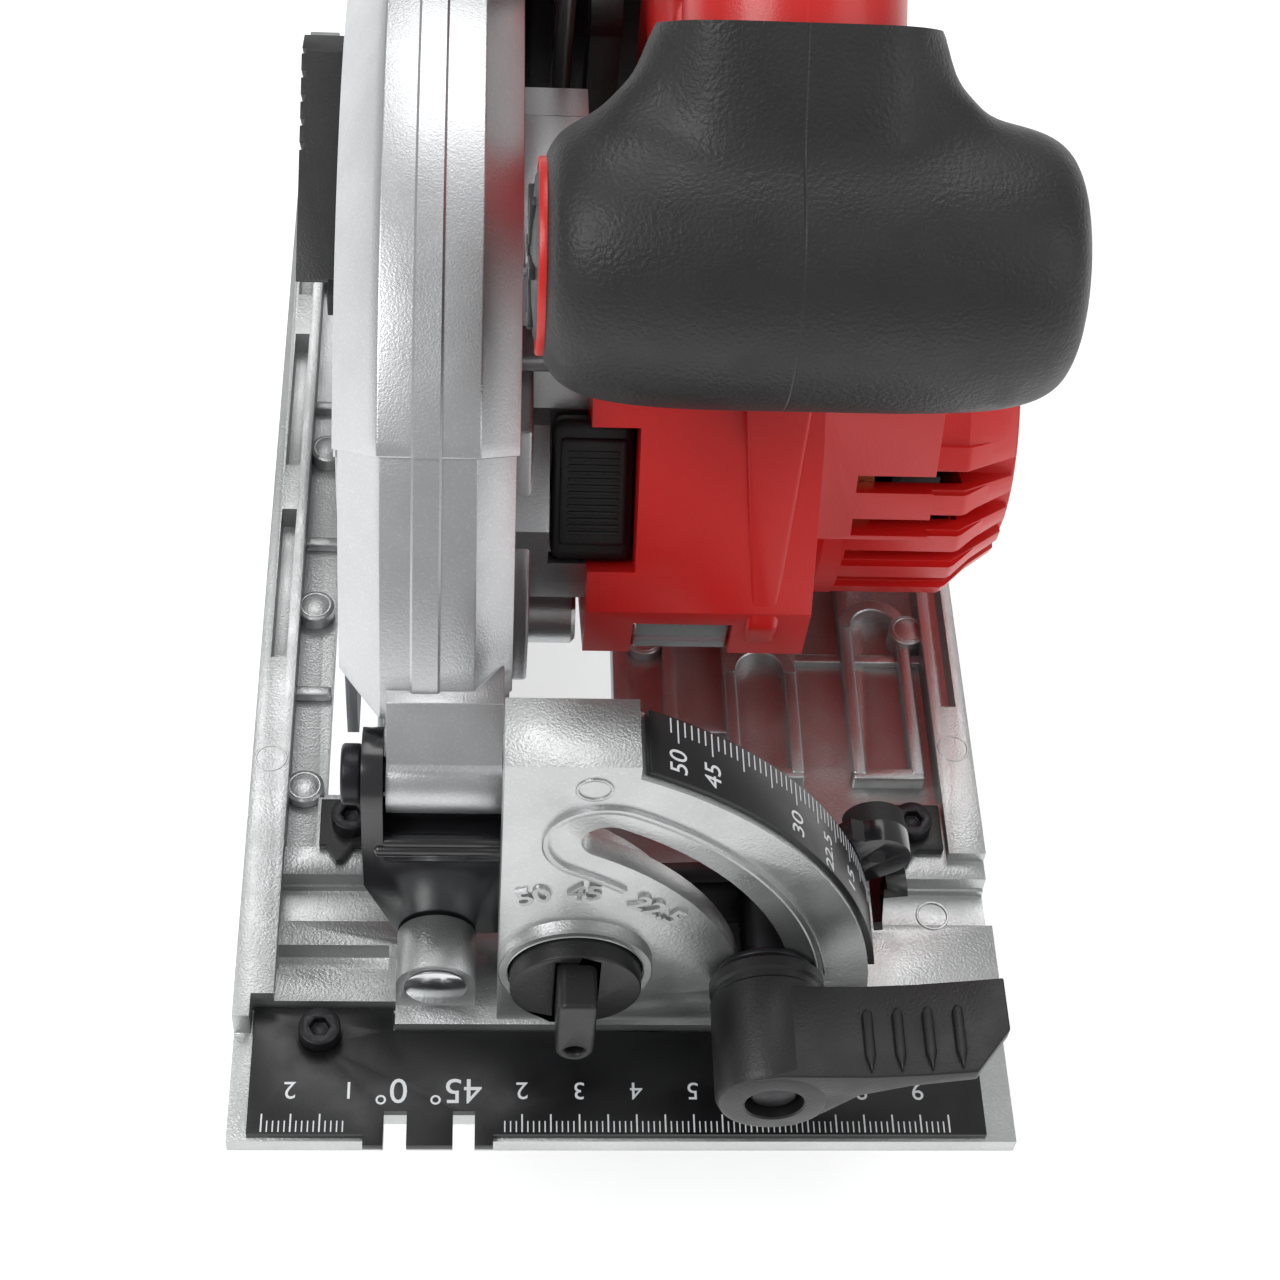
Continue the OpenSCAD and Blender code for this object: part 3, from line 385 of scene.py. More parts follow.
def block(name: str, low: Point3, high: Point3, edge: float = 0.0, segments: int = 2) -> bpy.types.Object:
    """A block between two corners with its edges rounded in edit mode.

    Args:
        name: the piece's name.
        low: its lowest corner, in millimetres.
        high: its highest corner.
        edge: the rounding of its edges.
        segments: the rounding's segments.

    Returns:
        The block.
    """
    clear_selection()
    centre = [(a + b) / 2 * MM for a, b in zip(low, high)]
    size = [(b - a) * MM for a, b in zip(low, high)]
    bpy.ops.mesh.primitive_cube_add(size=1.0, location=centre, scale=size)
    piece = bpy.context.object
    piece.name = name
    bpy.ops.object.transform_apply(location=True, rotation=True, scale=True)
    if edge:
        with editing(piece):
            bpy.ops.mesh.bevel(offset=edge * MM, segments=segments, affect="EDGES")
    return piece


def turned(name: str, section: Sequence[Point2], centre: Point2, axis: Axis, steps: int = 96,
           start: float = 0.0, sweep: float = 360.0) -> bpy.types.Object:
    """A turned piece, from its closed half section spun about an axis.

    Args:
        name: the piece's name.
        section: corners as radius and place along the axis, in millimetres.
        centre: the axis's place across itself.
        axis: the axis's direction.
        steps: steps round the sweep.
        start: the angle where the sweep starts, in degrees.
        sweep: the angle swept, in degrees.

    Returns:
        The turned piece, closed.
    """
    clear_selection()
    whole = sweep >= 360.0
    bpy.ops.mesh.primitive_circle_add(vertices=len(section), fill_type="NOTHING" if whole else "NGON")
    piece = bpy.context.object
    piece.name = name
    turn = math.radians(start)
    for corner, (radius, along) in zip(piece.data.vertices, section):
        corner.co = axis.spot(along, centre[0] + radius * math.cos(turn), centre[1] + radius * math.sin(turn))
    sign = 1.0 if axis is Axis.Y else -1.0
    with editing(piece):
        bpy.ops.mesh.spin(steps=steps, angle=sign * math.radians(sweep), center=axis.spot(0.0, *centre),
                          axis=axis.unit)
        bpy.ops.mesh.select_all(action="SELECT")
        bpy.ops.mesh.remove_doubles(threshold=SPIN_WELD * MM)
        bpy.ops.mesh.delete_loose()
        bpy.ops.mesh.select_all(action="SELECT")
        bpy.ops.mesh.normals_make_consistent(inside=False)
    return piece


def disc(name: str, radius: float, centre: Point2, axis: Axis, low: float, high: float, edge: float = 0.4,
         steps: int = 48) -> bpy.types.Object:
    """A round boss with both rims chamfered."""
    section = [(0.0, low), (radius - edge, low), (radius, low + edge), (radius, high - edge), (radius - edge, high),
               (0.0, high)]
    return turned(name, section, centre, axis, steps)


def ring(name: str, inner: float, outer: float, centre: Point2, axis: Axis, low: float, high: float,
         steps: int = 48, start: float = 0.0, sweep: float = 360.0) -> bpy.types.Object:
    """A ring with chamfered rims on its high side."""
    edge = min(0.25, (outer - inner) / 4, abs(high - low) / 3)
    section = [(inner, low), (outer, low), (outer, high - edge), (outer - edge, high), (inner + edge, high),
               (inner, high - edge)]
    return turned(name, section, centre, axis, steps, start, sweep)


def joined(name: str, parts: Sequence[bpy.types.Object]) -> bpy.types.Object:
    """One piece from several parts.

    Args:
        name: the joined piece's name.
        parts: the parts, the first of which takes the others in.

    Returns:
        The joined piece.
    """
    take(parts[0])
    for part in parts[1:]:
        part.select_set(True)
    bpy.context.view_layer.objects.active = parts[0]
    if len(parts) > 1:
        bpy.ops.object.join()
    parts[0].name = name
    return parts[0]


def copied(piece: bpy.types.Object, name: str, move: Matrix) -> bpy.types.Object:
    """A copy with its own mesh, moved by a matrix in metres.

    Args:
        piece: the piece to copy.
        name: the copy's name.
        move: the matrix; one that mirrors has its faces turned back outwards.

    Returns:
        The copy.
    """
    twin = bpy.data.objects.new(name, piece.data.copy())
    bpy.context.scene.collection.objects.link(twin)
    twin.data.transform(move)
    if move.determinant() < 0:
        twin.data.flip_normals()
    return twin


def repeated(piece: bpy.types.Object, moves: Sequence[Matrix]) -> list[bpy.types.Object]:
    """Copies of a piece that take its place.

    Args:
        piece: the piece, which is removed.
        moves: one matrix in metres for each copy.

    Returns:
        The copies.
    """
    copies = [copied(piece, piece.name, move) for move in moves]
    bpy.data.objects.remove(piece)
    return copies


def shift(x: float = 0.0, y: float = 0.0, z: float = 0.0) -> Matrix:
    """The matrix of a move by that many millimetres."""
    return Matrix.Translation(Vector((x, y, z)) * MM)


def about_x(centre: Point2, degrees: float) -> Matrix:
    """The matrix that turns a piece about the X axis and then moves that axis to a centre."""
    return shift(0.0, *centre) @ Matrix.Rotation(math.radians(degrees), 4, "X")


def carved(piece: bpy.types.Object, cutters: Sequence[bpy.types.Object]) -> bpy.types.Object:
    """Cuts the cutters out of a piece, and removes them.

    Args:
        piece: the piece to cut.
        cutters: closed solids that overlap it.

    Returns:
        The piece.
    """
    for cutter in cutters:
        modify(piece, "BOOLEAN", operation="DIFFERENCE", object=cutter, solver="EXACT")
        bpy.data.objects.remove(cutter)
    return piece


def eased(node: str, width: float = 0.4, segments: int = 2, angle: float = 28.0) -> bpy.types.Object:
    """A merged copy of a CAD node with its edges rounded, as a casting or moulding has them.

    Args:
        node: the CAD node's name.
        width: the rounding, in millimetres.
        segments: the rounding's segments.
        angle: edges sharper than this are rounded.

    Returns:
        The copy.
    """
    piece = bpy.data.objects.new(node + "_finished", frame["nodes"][node].data.copy())
    bpy.context.scene.collection.objects.link(piece)
    piece.data.materials.clear()
    with editing(piece):
        bpy.ops.mesh.remove_doubles(threshold=NODE_WELD * MM)
        bpy.ops.mesh.dissolve_limited(angle_limit=math.radians(FLAT_ANGLE))
    return rounded(piece, width, segments, angle)


def lettering(text: str, size: float, depth: float, move: Matrix, weight: float = 0.0) -> bpy.types.Object:
    """Scale figures as raised mesh.

    Args:
        text: the figures.
        size: their nominal height, in millimetres.
        depth: how far they stand up, in millimetres.
        move: the matrix, in metres, that sets them in place from flat on the XY plane.
        weight: how much wider than drawn their strokes are on each side, in millimetres.

    Returns:
        The figures as one mesh.
    """
    clear_selection()
    bpy.ops.object.text_add(location=(0.0, 0.0, 0.0))
    piece = bpy.context.object
    piece.data.body = text
    piece.data.align_x = "CENTER"
    piece.data.align_y = "CENTER"
    piece.data.size = size * FIGURE_SCALE * MM
    piece.data.extrude = depth / 2 * MM
    piece.data.offset = weight * MM
    piece.data.resolution_u = 4
    bpy.ops.object.convert(target="MESH")
    piece = bpy.context.object
    piece.data.transform(move)
    return piece


def settle(piece: bpy.types.Object, finish: Finish, node: str, replaces: bool = True,
           angle: float = 35.0) -> bpy.types.Object:
    """Gives a piece its finish and body.

    Args:
        piece: the finished piece.
        finish: its surface.
        node: the CAD node that it stands for or sits on.
        replaces: True if it stands for that node, which is then not shown.
        angle: the smooth shading's angle.

    Returns:
        The piece.
    """
    smoothed(piece, angle)
    piece.data.materials.clear()
    piece.data.materials.append(finish.material())
    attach(piece, BODY_OF[node])
    if replaces:
        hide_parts(node)
    log.info("%s: %d faces", piece.name, len(piece.data.polygons))
    return piece


def dress(node: str, finish: Finish, width: float = 0.4, segments: int = 2, angle: float = 28.0) -> bpy.types.Object:
    """Puts a CAD node's eased copy in its finish, in the node's place."""
    return settle(eased(node, width, segments, angle), finish, node)


def flat_turn(place: Point3, *turns: tuple[float, str]) -> Matrix:
    """A matrix that turns about the given axes in order and then moves, in millimetres."""
    move = Matrix.Identity(4)
    for degrees, axis in turns:
        move = Matrix.Rotation(math.radians(degrees), 4, axis) @ move
    return Matrix.Translation(Vector(place) * MM) @ move


# ---------------------------------------------------------------- studio
@dataclass
class Studio:
    """The camera, the floor and the soft light."""

    focal: float = 68.93
    eye: Point3 = (10.07, -210.8, 393.9)
    pitch: float = 0.9108
    yaw: float = 0.11185
    roll: float = -0.10316
    floor_z: float = -74.0
    floor_side: float = 9.0
    glow: float = 0.42
    aim: Point3 = (0.04, 0.12, 0.05)
    lamps: tuple[tuple[str, Point3, float, float], ...] = (
        ("key_lamp", (-0.9, -0.4, 1.3), 0.8, 11.0),
        ("fill_lamp", (1.2, -0.5, 1.0), 0.9, 4.0),
        ("top_lamp", (0.1, 0.9, 1.5), 1.0, 9.0))

    def set_camera(self) -> None:
        """Sets the camera high in front of the saw, looking down at it."""
        data = bpy.data.cameras.new("camera")
        data.lens, data.sensor_width = self.focal, 36.0
        data.clip_start, data.clip_end = 0.01, 20.0
        camera = bpy.data.objects.new("camera", data)
        bpy.context.scene.collection.objects.link(camera)
        level = Vector((math.cos(self.yaw), -math.sin(self.yaw), 0.0))
        ahead = Vector((math.sin(self.yaw) * math.cos(self.pitch), math.cos(self.yaw) * math.cos(self.pitch),
                        -math.sin(self.pitch)))
        down = ahead.cross(level)
        right = math.cos(self.roll) * level + math.sin(self.roll) * down
        below = -math.sin(self.roll) * level + math.cos(self.roll) * down
        turn = Matrix((right, -below, -ahead)).transposed().to_4x4()
        camera.matrix_world = Matrix.Translation(Vector(self.eye) * MM) @ turn
        bpy.context.scene.camera = camera

    def lay_floor(self) -> None:
        """Lays the pale floor."""
        clear_selection()
        bpy.ops.mesh.primitive_grid_add(x_subdivisions=4, y_subdivisions=4, size=self.floor_side,
                                        location=(0.0, 0.0, self.floor_z * MM))
        floor = bpy.context.object
        floor.name = "floor"
        surface = Finish("pale_floor", (0.92, 0.92, 0.92), 0.0, 0.75, 0.01, 4.0, 300.0, 0.02).material()
        shader = next(node for node in surface.node_tree.nodes if node.type == "BSDF_PRINCIPLED")
        shader.inputs["Emission Color"].default_value = (1.0, 1.0, 1.0, 1.0)
        shader.inputs["Emission Strength"].default_value = self.glow
        floor.data.materials.append(surface)

    def lamp(self, name: str, place: Point3, size: float, power: float) -> None:
        """Hangs one square soft lamp, aimed at the saw.

        Args:
            name: the lamp's name.
            place: its place, in metres.
            size: its side, in metres.
            power: its power, in watts.
        """
        data = bpy.data.lights.new(name, "AREA")
        data.shape, data.size, data.energy = "SQUARE", size, power
        lamp = bpy.data.objects.new(name, data)
        bpy.context.scene.collection.objects.link(lamp)
        aim = Vector(self.aim) - Vector(place)
        lamp.matrix_world = Matrix.Translation(Vector(place)) @ aim.to_track_quat("-Z", "Y").to_matrix().to_4x4()

    def light(self) -> None:
        """Lights the saw from above and both sides, with a bright surround."""
        for name, place, size, power in self.lamps:
            self.lamp(name, place, size, power)
        world = bpy.data.worlds.new("surround")
        world.use_nodes = True
        world.node_tree.nodes["Background"].inputs["Color"].default_value = (1.0, 1.0, 1.0, 1.0)
        world.node_tree.nodes["Background"].inputs["Strength"].default_value = self.glow
        bpy.context.scene.world = world
        bpy.context.scene.view_settings.view_transform = "Standard"

    def build(self) -> None:
        """Builds the whole studio."""
        self.set_camera()
        self.lay_floor()
        self.light()


# ---------------------------------------------------------------- shoe
@dataclass
class Shoe:
    """The cast shoe with its ribs, its printed scales and its screws."""

    plate_z: float = 3.5
    scale_z: float = 5.1
    rib_half: float = 1.3
    rib_loops: tuple[Point3, ...] = ((61.2, 73.2, 80.0), (85.2, 96.6, 91.6))
    rib_pitch: float = 38.0
    cross_ribs: tuple[tuple[float, float, float, float], ...] = ((41.0, 61.0, 66.0, 5.6), (73.0, 100.2, 84.0, 5.2),
                                                                 (-24.2, -17.2, 74.0, 5.6))
    ejectors: tuple[Point3, ...] = ((-27.6, 14.4, 7.0), (103.4, 60.0, 9.75), (-27.5, 56.0, 9.7),
                                    (60.3, 52.0, 3.5), (96.0, 24.0, 7.0), (52.0, 12.0, 7.0), (-27.5, 245.0, 9.7),
                                    (103.4, 245.0, 9.75), (70.0, 246.0, 3.5), (-12.0, 262.0, 7.0))
    posts: tuple[Point3, ...] = ((-21.2, 52.6, 5.6), (-21.2, 95.4, 6.8), (-20.6, 137.7, 6.8), (-20.6, 190.0, 6.8),
                                 (97.6, 90.4, 8.2), (97.6, 140.0, 8.2), (97.6, 190.0, 8.2), (44.6, 88.7, 6.0))
    divisions_x: tuple[int, int] = (-25, 95)
    bare_x: tuple[int, int] = (-11, 17)
    pin: Point2 = (4.6, 14.0)
    figures_y: float = -10.9
    front_figures: tuple[tuple[str, float, float], ...] = (("2", -20.4, 3.4), ("1", -10.2, 3.4), ("0°", -2.9, 4.9),
                                                           ("45°", 8.3, 4.9))

    def casting(self) -> None:
        """The shoe's casting: rounded edges, rib loops, posts and ejector marks."""
        parts = [eased("shoe", 0.45, 2)]
        half = self.rib_half
        for left, right, rear in self.rib_loops:
            middle, radius = (left + right) / 2, (right - left) / 2
            parts.append(ring("rib_loop", radius - half, radius + half, (middle, rear), Axis.Z, 3.3, 7.3, 28, 0.0,
                              180.0))
            for side in (left, right):
                parts.append(block("rib_side", (side - half, 55.6, 3.3), (side + half, rear, 7.3), 0.5))
            parts.append(block("rib_foot", (left - half, 54.6, 3.3), (right + half, 57.2, 7.1), 0.5))
        for x, y, top in self.posts:
            parts.append(disc("post", 3.7, (x, y), Axis.Z, self.plate_z - 0.2, top, 0.3, 36))
        post_mark = ring("post_mark", 2.7, 3.1, (0.0, 0.0), Axis.Z, -0.1, 0.15, 36)
        parts += repeated(post_mark, [shift(*post) for post in self.posts])
        ejector_mark = ring("ejector_mark", 2.6, 3.1, (0.0, 0.0), Axis.Z, -0.2, 0.2, 32)
        parts += repeated(ejector_mark, [shift(*mark) for mark in self.ejectors])
        for left, right, start, top in self.cross_ribs:
            rib = block("cross_rib", (left, start, 3.3), (right, start + 2.2, top), 0.4)
            parts += repeated(rib, [shift(y=self.rib_pitch * k) for k in range(5)])
        settle(joined("shoe_casting", parts), CAST_SHOE, "shoe")

    def printed_scale(self) -> None:
        """The front scale's white divisions and figures, read from behind the saw."""
        top = self.scale_z - 0.02
        marks: list[bpy.types.Object] = []
        shown = [x for x in range(self.divisions_x[0], self.divisions_x[1] + 1)
                 if not self.bare_x[0] < x < self.bare_x[1]]
        long_mark = block("division", (-0.14, -19.0, top), (0.14, -15.6, top + 0.07))
        marks += repeated(long_mark, [shift(x) for x in shown if x % 5 == 0])
        short_mark = block("division", (-0.11, -19.0, top), (0.11, -16.9, top + 0.07))
        marks += repeated(short_mark, [shift(x) for x in shown if x % 5])
        centimetres = [(str(number), number * 10.0, 3.4) for number in range(2, 10)]
        for text, x, size in [*self.front_figures, *centimetres]:
            marks.append(lettering(text, size, 0.12, flat_turn((x, self.figures_y, top + 0.02), (180.0, "Z"))))
        settle(joined("front_scale_print", marks), PRINT_WHITE, "front_scale", False)

    def build(self) -> None:
        """Builds the shoe and what is fixed to it."""
        self.casting()
        self.printed_scale()
        dress("front_scale", SCALE_BLACK, 0.3)
        dress("shoe_screws", BLACKED, 0.25)
        dress("fence_pointers", BLACK_PLASTIC, 0.3)
        head = disc("pin_head", 5.5, self.pin, Axis.Y, 4.1, 4.68, 0.25)
        neck = disc("pin_neck", 4.3, self.pin, Axis.Y, 4.4, 5.8, 0.2)
        settle(joined("front_bevel_pin_finished", [eased("front_bevel_pin", 0.4), head, neck]), GROUND_PIN,
               "front_bevel_pin")
        dress("rear_bevel_pin", GROUND_PIN, 0.4)


@dataclass
class BevelStation:
    """The quadrant's raised marks, its printed scale, the stop dial and the clamp lever."""

    pivot: Point2 = (4.6, 14.0)
    dial: Point2 = (28.5, 28.0)
    face_y: float = 2.0
    slot_r: float = 58.0
    scale_r: float = 77.0
    bolt: Point2 = (61.65, 24.47)
    rim: Point2 = (9.0, 10.2)
    slot_end: float = 62.0
    arm_y: Point2 = (-23.3, -6.2)
    grip_ribs: tuple[float, ...] = (15.2, 20.2, 25.2, 30.2)
    scale_zero: float = 10.4
    scale_y: float = 14.6
    stop_figures: tuple[tuple[str, float, float], ...] = (("50", 20.0, 22.5), ("45", -2.0, 22.5),
                                                          ("22.5", -37.0, 21.5))
    scale_figures: tuple[tuple[str, float], ...] = (("0", 0.8), ("15", 15.0), ("22.5", 22.5), ("30", 30.0),
                                                    ("45", 45.0), ("50", 50.0))

    def raised_marks(self) -> None:
        """Embossed figures, the rims round the slot and the dial, and the ejector mark."""
        face, (near, far) = self.face_y, self.rim
        marks = [ring("slot_rim", self.slot_r + near, self.slot_r + far, self.pivot, Axis.Y, face + 0.1, face - 0.6,
                      60, 9.0, 53.0),
                 ring("slot_rim", self.slot_r - far, self.slot_r - near, self.pivot, Axis.Y, face + 0.1, face - 0.6,
                      40, 50.0, 12.0),
                 ring("ejector_mark", 2.5, 3.0, (29.4, 80.0), Axis.Y, face + 0.1, face - 0.2, 32),
                 ring("dial_rim", 11.7, 13.2, self.dial, Axis.Y, face - 1.9, face - 2.4, 64)]
        end = math.radians(self.slot_end)
        cap = (self.pivot[0] + self.slot_r * math.cos(end), self.pivot[1] + self.slot_r * math.sin(end))
        marks.append(ring("slot_rim", near, far, cap, Axis.Y, face + 0.1, face - 0.6, 32, self.slot_end, 180.0))
        for text, turn, radius in self.stop_figures:
            angle = math.radians(90.0 + turn)
            place = (self.dial[0] + radius * math.cos(angle), face - 0.15, self.dial[1] + radius * math.sin(angle))
            marks.append(lettering(text, 4.3, 1.1, flat_turn(place, (90.0, "X"), (-turn, "Y")), 0.14))
        settle(joined("quadrant_marks", marks), CAST_SHOE, "shoe", False)

    def at_degree(self, degree: float) -> Matrix:
        """The matrix that takes a mark from the pivot's right to its degree on the rim."""
        turn = Matrix.Rotation(-math.radians(degree + self.scale_zero), 4, "Y")
        return shift(self.pivot[0], 0.0, self.pivot[1]) @ turn

    def printed_scale(self) -> None:
        """Degree divisions and figures on the quadrant's black rim."""
        marks: list[bpy.types.Object] = []
        radius = self.scale_r
        fives = range(0, 52, 5)
        for length, degrees in ((4.4, fives), (2.8, [degree for degree in range(52) if degree not in fives])):
            mark = block("degree", (radius - 0.02, self.scale_y - length, -0.12), (radius + 0.06, self.scale_y, 0.12))
            marks += repeated(mark, [self.at_degree(degree) for degree in degrees])
        for text, degree in self.scale_figures:
            figure = lettering(text, 2.9 if text == "22.5" else 3.4, 0.1,
                               flat_turn((0.0, 0.0, 0.0), (90.0, "Z"), (90.0, "Y")))
            figure.data.transform(self.at_degree(degree) @ shift(radius + 0.03, 6.6))
            marks.append(figure)
        settle(joined("bevel_scale_print", marks), PRINT_WHITE, "bevel_scale", False)

    def lever(self) -> None:
        """The clamp lever: a round hub and a broad arm with a ribbed top."""
        x0, z0 = self.bolt
        side = [(-4.0, 8.4), (0.0, 9.5), (8.0, 9.4), (15.0, 9.4), (24.0, 10.2), (33.0, 11.6), (38.6, 12.6),
                (38.6, 9.9), (33.0, 8.8), (22.0, 6.2), (14.0, 2.8), (9.0, -3.2), (4.0, -8.4)]
        arm = plate("lever_arm", [(x0 + u, z0 + v) for u, v in side], Axis.Y, *self.arm_y)
        with editing(arm):
            bpy.ops.mesh.bisect(plane_co=Vector((x0 + 32.6, self.arm_y[0], z0)) * MM, plane_no=(0.774, -0.633, 0.0),
                                clear_outer=True, use_fill=True)
        carved(arm, [disc("bore_room", 6.4, self.bolt, Axis.Y, -26.0, -1.0)])
        rounded(arm, 0.9, 3)
        hub = turned("lever_hub", [(4.05, -20.0), (5.0, -20.0), (5.0, -23.3), (5.3, -23.6), (8.2, -23.5),
                                   (9.3, -23.0), (9.9, -21.8), (9.9, -4.6), (9.4, -4.0), (9.4, -2.9), (9.9, -2.4),
                                   (9.9, -0.6), (9.2, 0.1), (8.6, 0.6), (4.05, 0.6)], self.bolt, Axis.Y, 72)
        ribs = []
        for x in self.grip_ribs:
            tip = ((0.0, -22.9), (0.9, -19.5), (0.9, -11.6), (0.0, -10.7), (-0.9, -11.6), (-0.9, -19.5))
            top = z0 + 10.5 + (x - self.grip_ribs[0]) * 0.12
            ribs.append(rounded(plate("grip_rib", [(x0 + x + u, y) for u, y in tip], Axis.Z, z0 + 8.0, top), 0.6, 3))
        settle(joined("clamp_lever", [hub, arm, *ribs]), BLACK_PLASTIC, "bevel_lever")

    def build(self) -> None:
        """Builds the bevel setting parts."""
        self.raised_marks()
        self.printed_scale()
        self.lever()
        dress("bevel_scale", SCALE_BLACK, 0.15)
        dress("stop_dial", BLACK_PLASTIC, 0.7, 3)
        dress("stop_pusher", BLACK_PLASTIC, 0.8, 3)
        dress("lever_washer", BLACKED, 0.3)


@dataclass
class TiltCarriage:
    """The black bracket, its bolts and the depth arc."""

    def build(self) -> None:
        """Builds the parts that tilt with the head."""
        lip = block("bracket_lip", (-5.0, 15.4, 36.5), (16.6, 17.9, 43.4), 0.9, 3)
        brow = block("bracket_brow", (-6.0, 14.6, 39.8), (17.6, 16.4, 42.2), 0.8, 3)
        shelf = block("bracket_shelf", (-5.0, 16.0, 38.4), (16.6, 27.0, 41.2), 0.8, 3)
        settle(joined("tilt_bracket_pressing", [eased("tilt_bracket", 0.6, 3), lip, brow, shelf]), GLOSS_BLACK,
               "tilt_bracket")
        dress("depth_arc", GLOSS_BLACK, 0.5)
        dress("bevel_bolt", BLACKED, 0.5)
        dress("bevel_pointer", BLACK_PLASTIC, 0.4)
        dress("pivot_bolt", BLACKED, 0.7, 3)


# ---------------------------------------------------------------- head
@dataclass
class UpperGuard:
    """The cast guard over the blade, with its thicker rear skin and its centre band."""

    arbor: Point2 = ARBOR
    radius: float = 103.0
    left: float = -12.5
    right: float = 17.0
    break_angle: float = 137.0

    def skin_section(self, lift: float) -> list[Point2]:
        """The guard's outline across its width, from its inner wall out.

        Args:
            lift: how far the outer side stands off the guard, in millimetres.

        Returns:
            Corners as radius and place along the arbor.
        """
        r, left, right = self.radius, self.left, self.right
        outer = [(r - 14.0, left - lift * 0.6), (r - 12.0, left - lift), (r - 1.4 + lift * 0.4, left + 6.4 - lift),
                 (r + lift, left + 7.4 - lift * 0.5), (r + lift, right - 6.4 + lift * 0.5),
                 (r - 7.0 + lift, right + lift * 0.6), (r - 9.0, right + lift * 0.6)]
        inner = [(r - 9.0, right - 0.8), (r - 7.5, right - 0.8), (r - 0.8, right - 7.0), (r - 0.8, left + 7.6),
                 (r - 2.4, left + 7.0), (r - 12.6, left + 0.8), (r - 14.0, left + 0.8)]
        return outer + inner

    def band(self, root: float, shoulder: float, crest: float, steps: int, start: float,
             sweep: float) -> bpy.types.Object:
        """A raised band along the middle of the guard.

        Args:
            root: its foot's height over the guard's radius, in millimetres.
            shoulder: its sides' height.
            crest: its top's height.
            steps: steps round the sweep.
            start: the angle where it starts, in degrees.
            sweep: the angle that it runs through.

        Returns:
            The band.
        """
        foot, side, top = self.radius + root, self.radius + shoulder, self.radius + crest
        section = [(foot, -0.1), (side, -0.1), (top, 0.3), (top, 4.5), (side, 4.9), (foot, 4.9)]
        return turned("guard_band", section, self.arbor, Axis.X, steps, start, sweep)

    def build(self) -> None:
        """Builds the guard's casting and its raised skins."""
        body = eased("upper_guard", 0.5, 2, 24.0)
        skin = turned("guard_skin", self.skin_section(1.0), self.arbor, Axis.X, 96, -2.0, self.break_angle + 2.0)
        rounded(skin, 0.25, 2, 24.0)
        band = self.band(-0.6, 0.25, 0.55, 60, self.break_angle - 1.0, 32.0)
        rear = self.band(0.3, 1.25, 1.6, 96, -2.0, self.break_angle + 2.0)
        side = self.left
        rim_section = [(84.0, side + 0.6), (84.0, side - 0.5), (84.6, side - 0.9), (87.4, side - 0.9),
                       (88.0, side - 0.5), (88.0, side + 0.6)]
        rim = turned("guard_side_rim", rim_section, self.arbor, Axis.X, 96, 0.0, 138.0)
        hub_section = [(28.6, side + 0.6), (28.6, side - 0.8), (29.2, side - 1.2), (31.6, side - 1.2),
                       (32.4, side + 0.6)]
        hub = turned("guard_hub_rim", hub_section, self.arbor, Axis.X, 72, -2.0, 184.0)
        settle(joined("upper_guard_casting", [body, skin, band, rear, rim, hub]), CAST_SILVER, "upper_guard", True,
               28.0)


@dataclass
class GearCase:
    """The cast gear case with its ledges and bosses."""

    arbor: Point2 = ARBOR
    boss_pitch: float = 30.0
    boss_angles: tuple[float, ...] = (50.0, 112.0, 230.0)

    def build(self) -> None:
        """Builds the gear case and its screws."""
        parts = [eased("gear_case", 0.7, 3)]
        for top, depth in ((112.0, 3.0), (90.0, 3.4)):
            outline = [(84.0, top - depth), (84.0, top), (122.0, top), (122.0, top - depth)]
            parts.append(rounded(plate("ledge", outline, Axis.X, 17.2, 31.2), 0.8, 2))
        for angle in self.boss_angles:
            turn = math.radians(angle)
            place = (self.arbor[0] + self.boss_pitch * math.cos(turn), self.arbor[1] + self.boss_pitch * math.sin(turn))
            parts.append(disc("boss", 4.2, place, Axis.X, 20.0, 31.4, 0.6, 32))
        flange = plate("front_flange", [(60.0, 30.0), (59.0, 44.0), (64.0, 62.0), (76.0, 80.0), (96.0, 88.0),
                                        (104.0, 70.0), (92.0, 30.0), (84.0, 22.0), (68.0, 22.0)], Axis.X, 17.1, 20.2)
        parts.append(rounded(flange, 0.8, 3))
        parts.append(carved(disc("lug", 5.8, (77.0, 29.0), Axis.X, 17.6, 29.4, 0.8, 40),
                            [disc("lug_hole", 2.2, (77.0, 29.0), Axis.X, 25.0, 32.0, 0.1, 24)]))
        parts.append(disc("lug", 3.6, (70.0, 60.0), Axis.X, 17.6, 22.4, 0.6, 32))
        settle(joined("gear_case_casting", parts), CAST_SILVER, "gear_case")
        dress("guard_screws", BLACKED, 0.3)


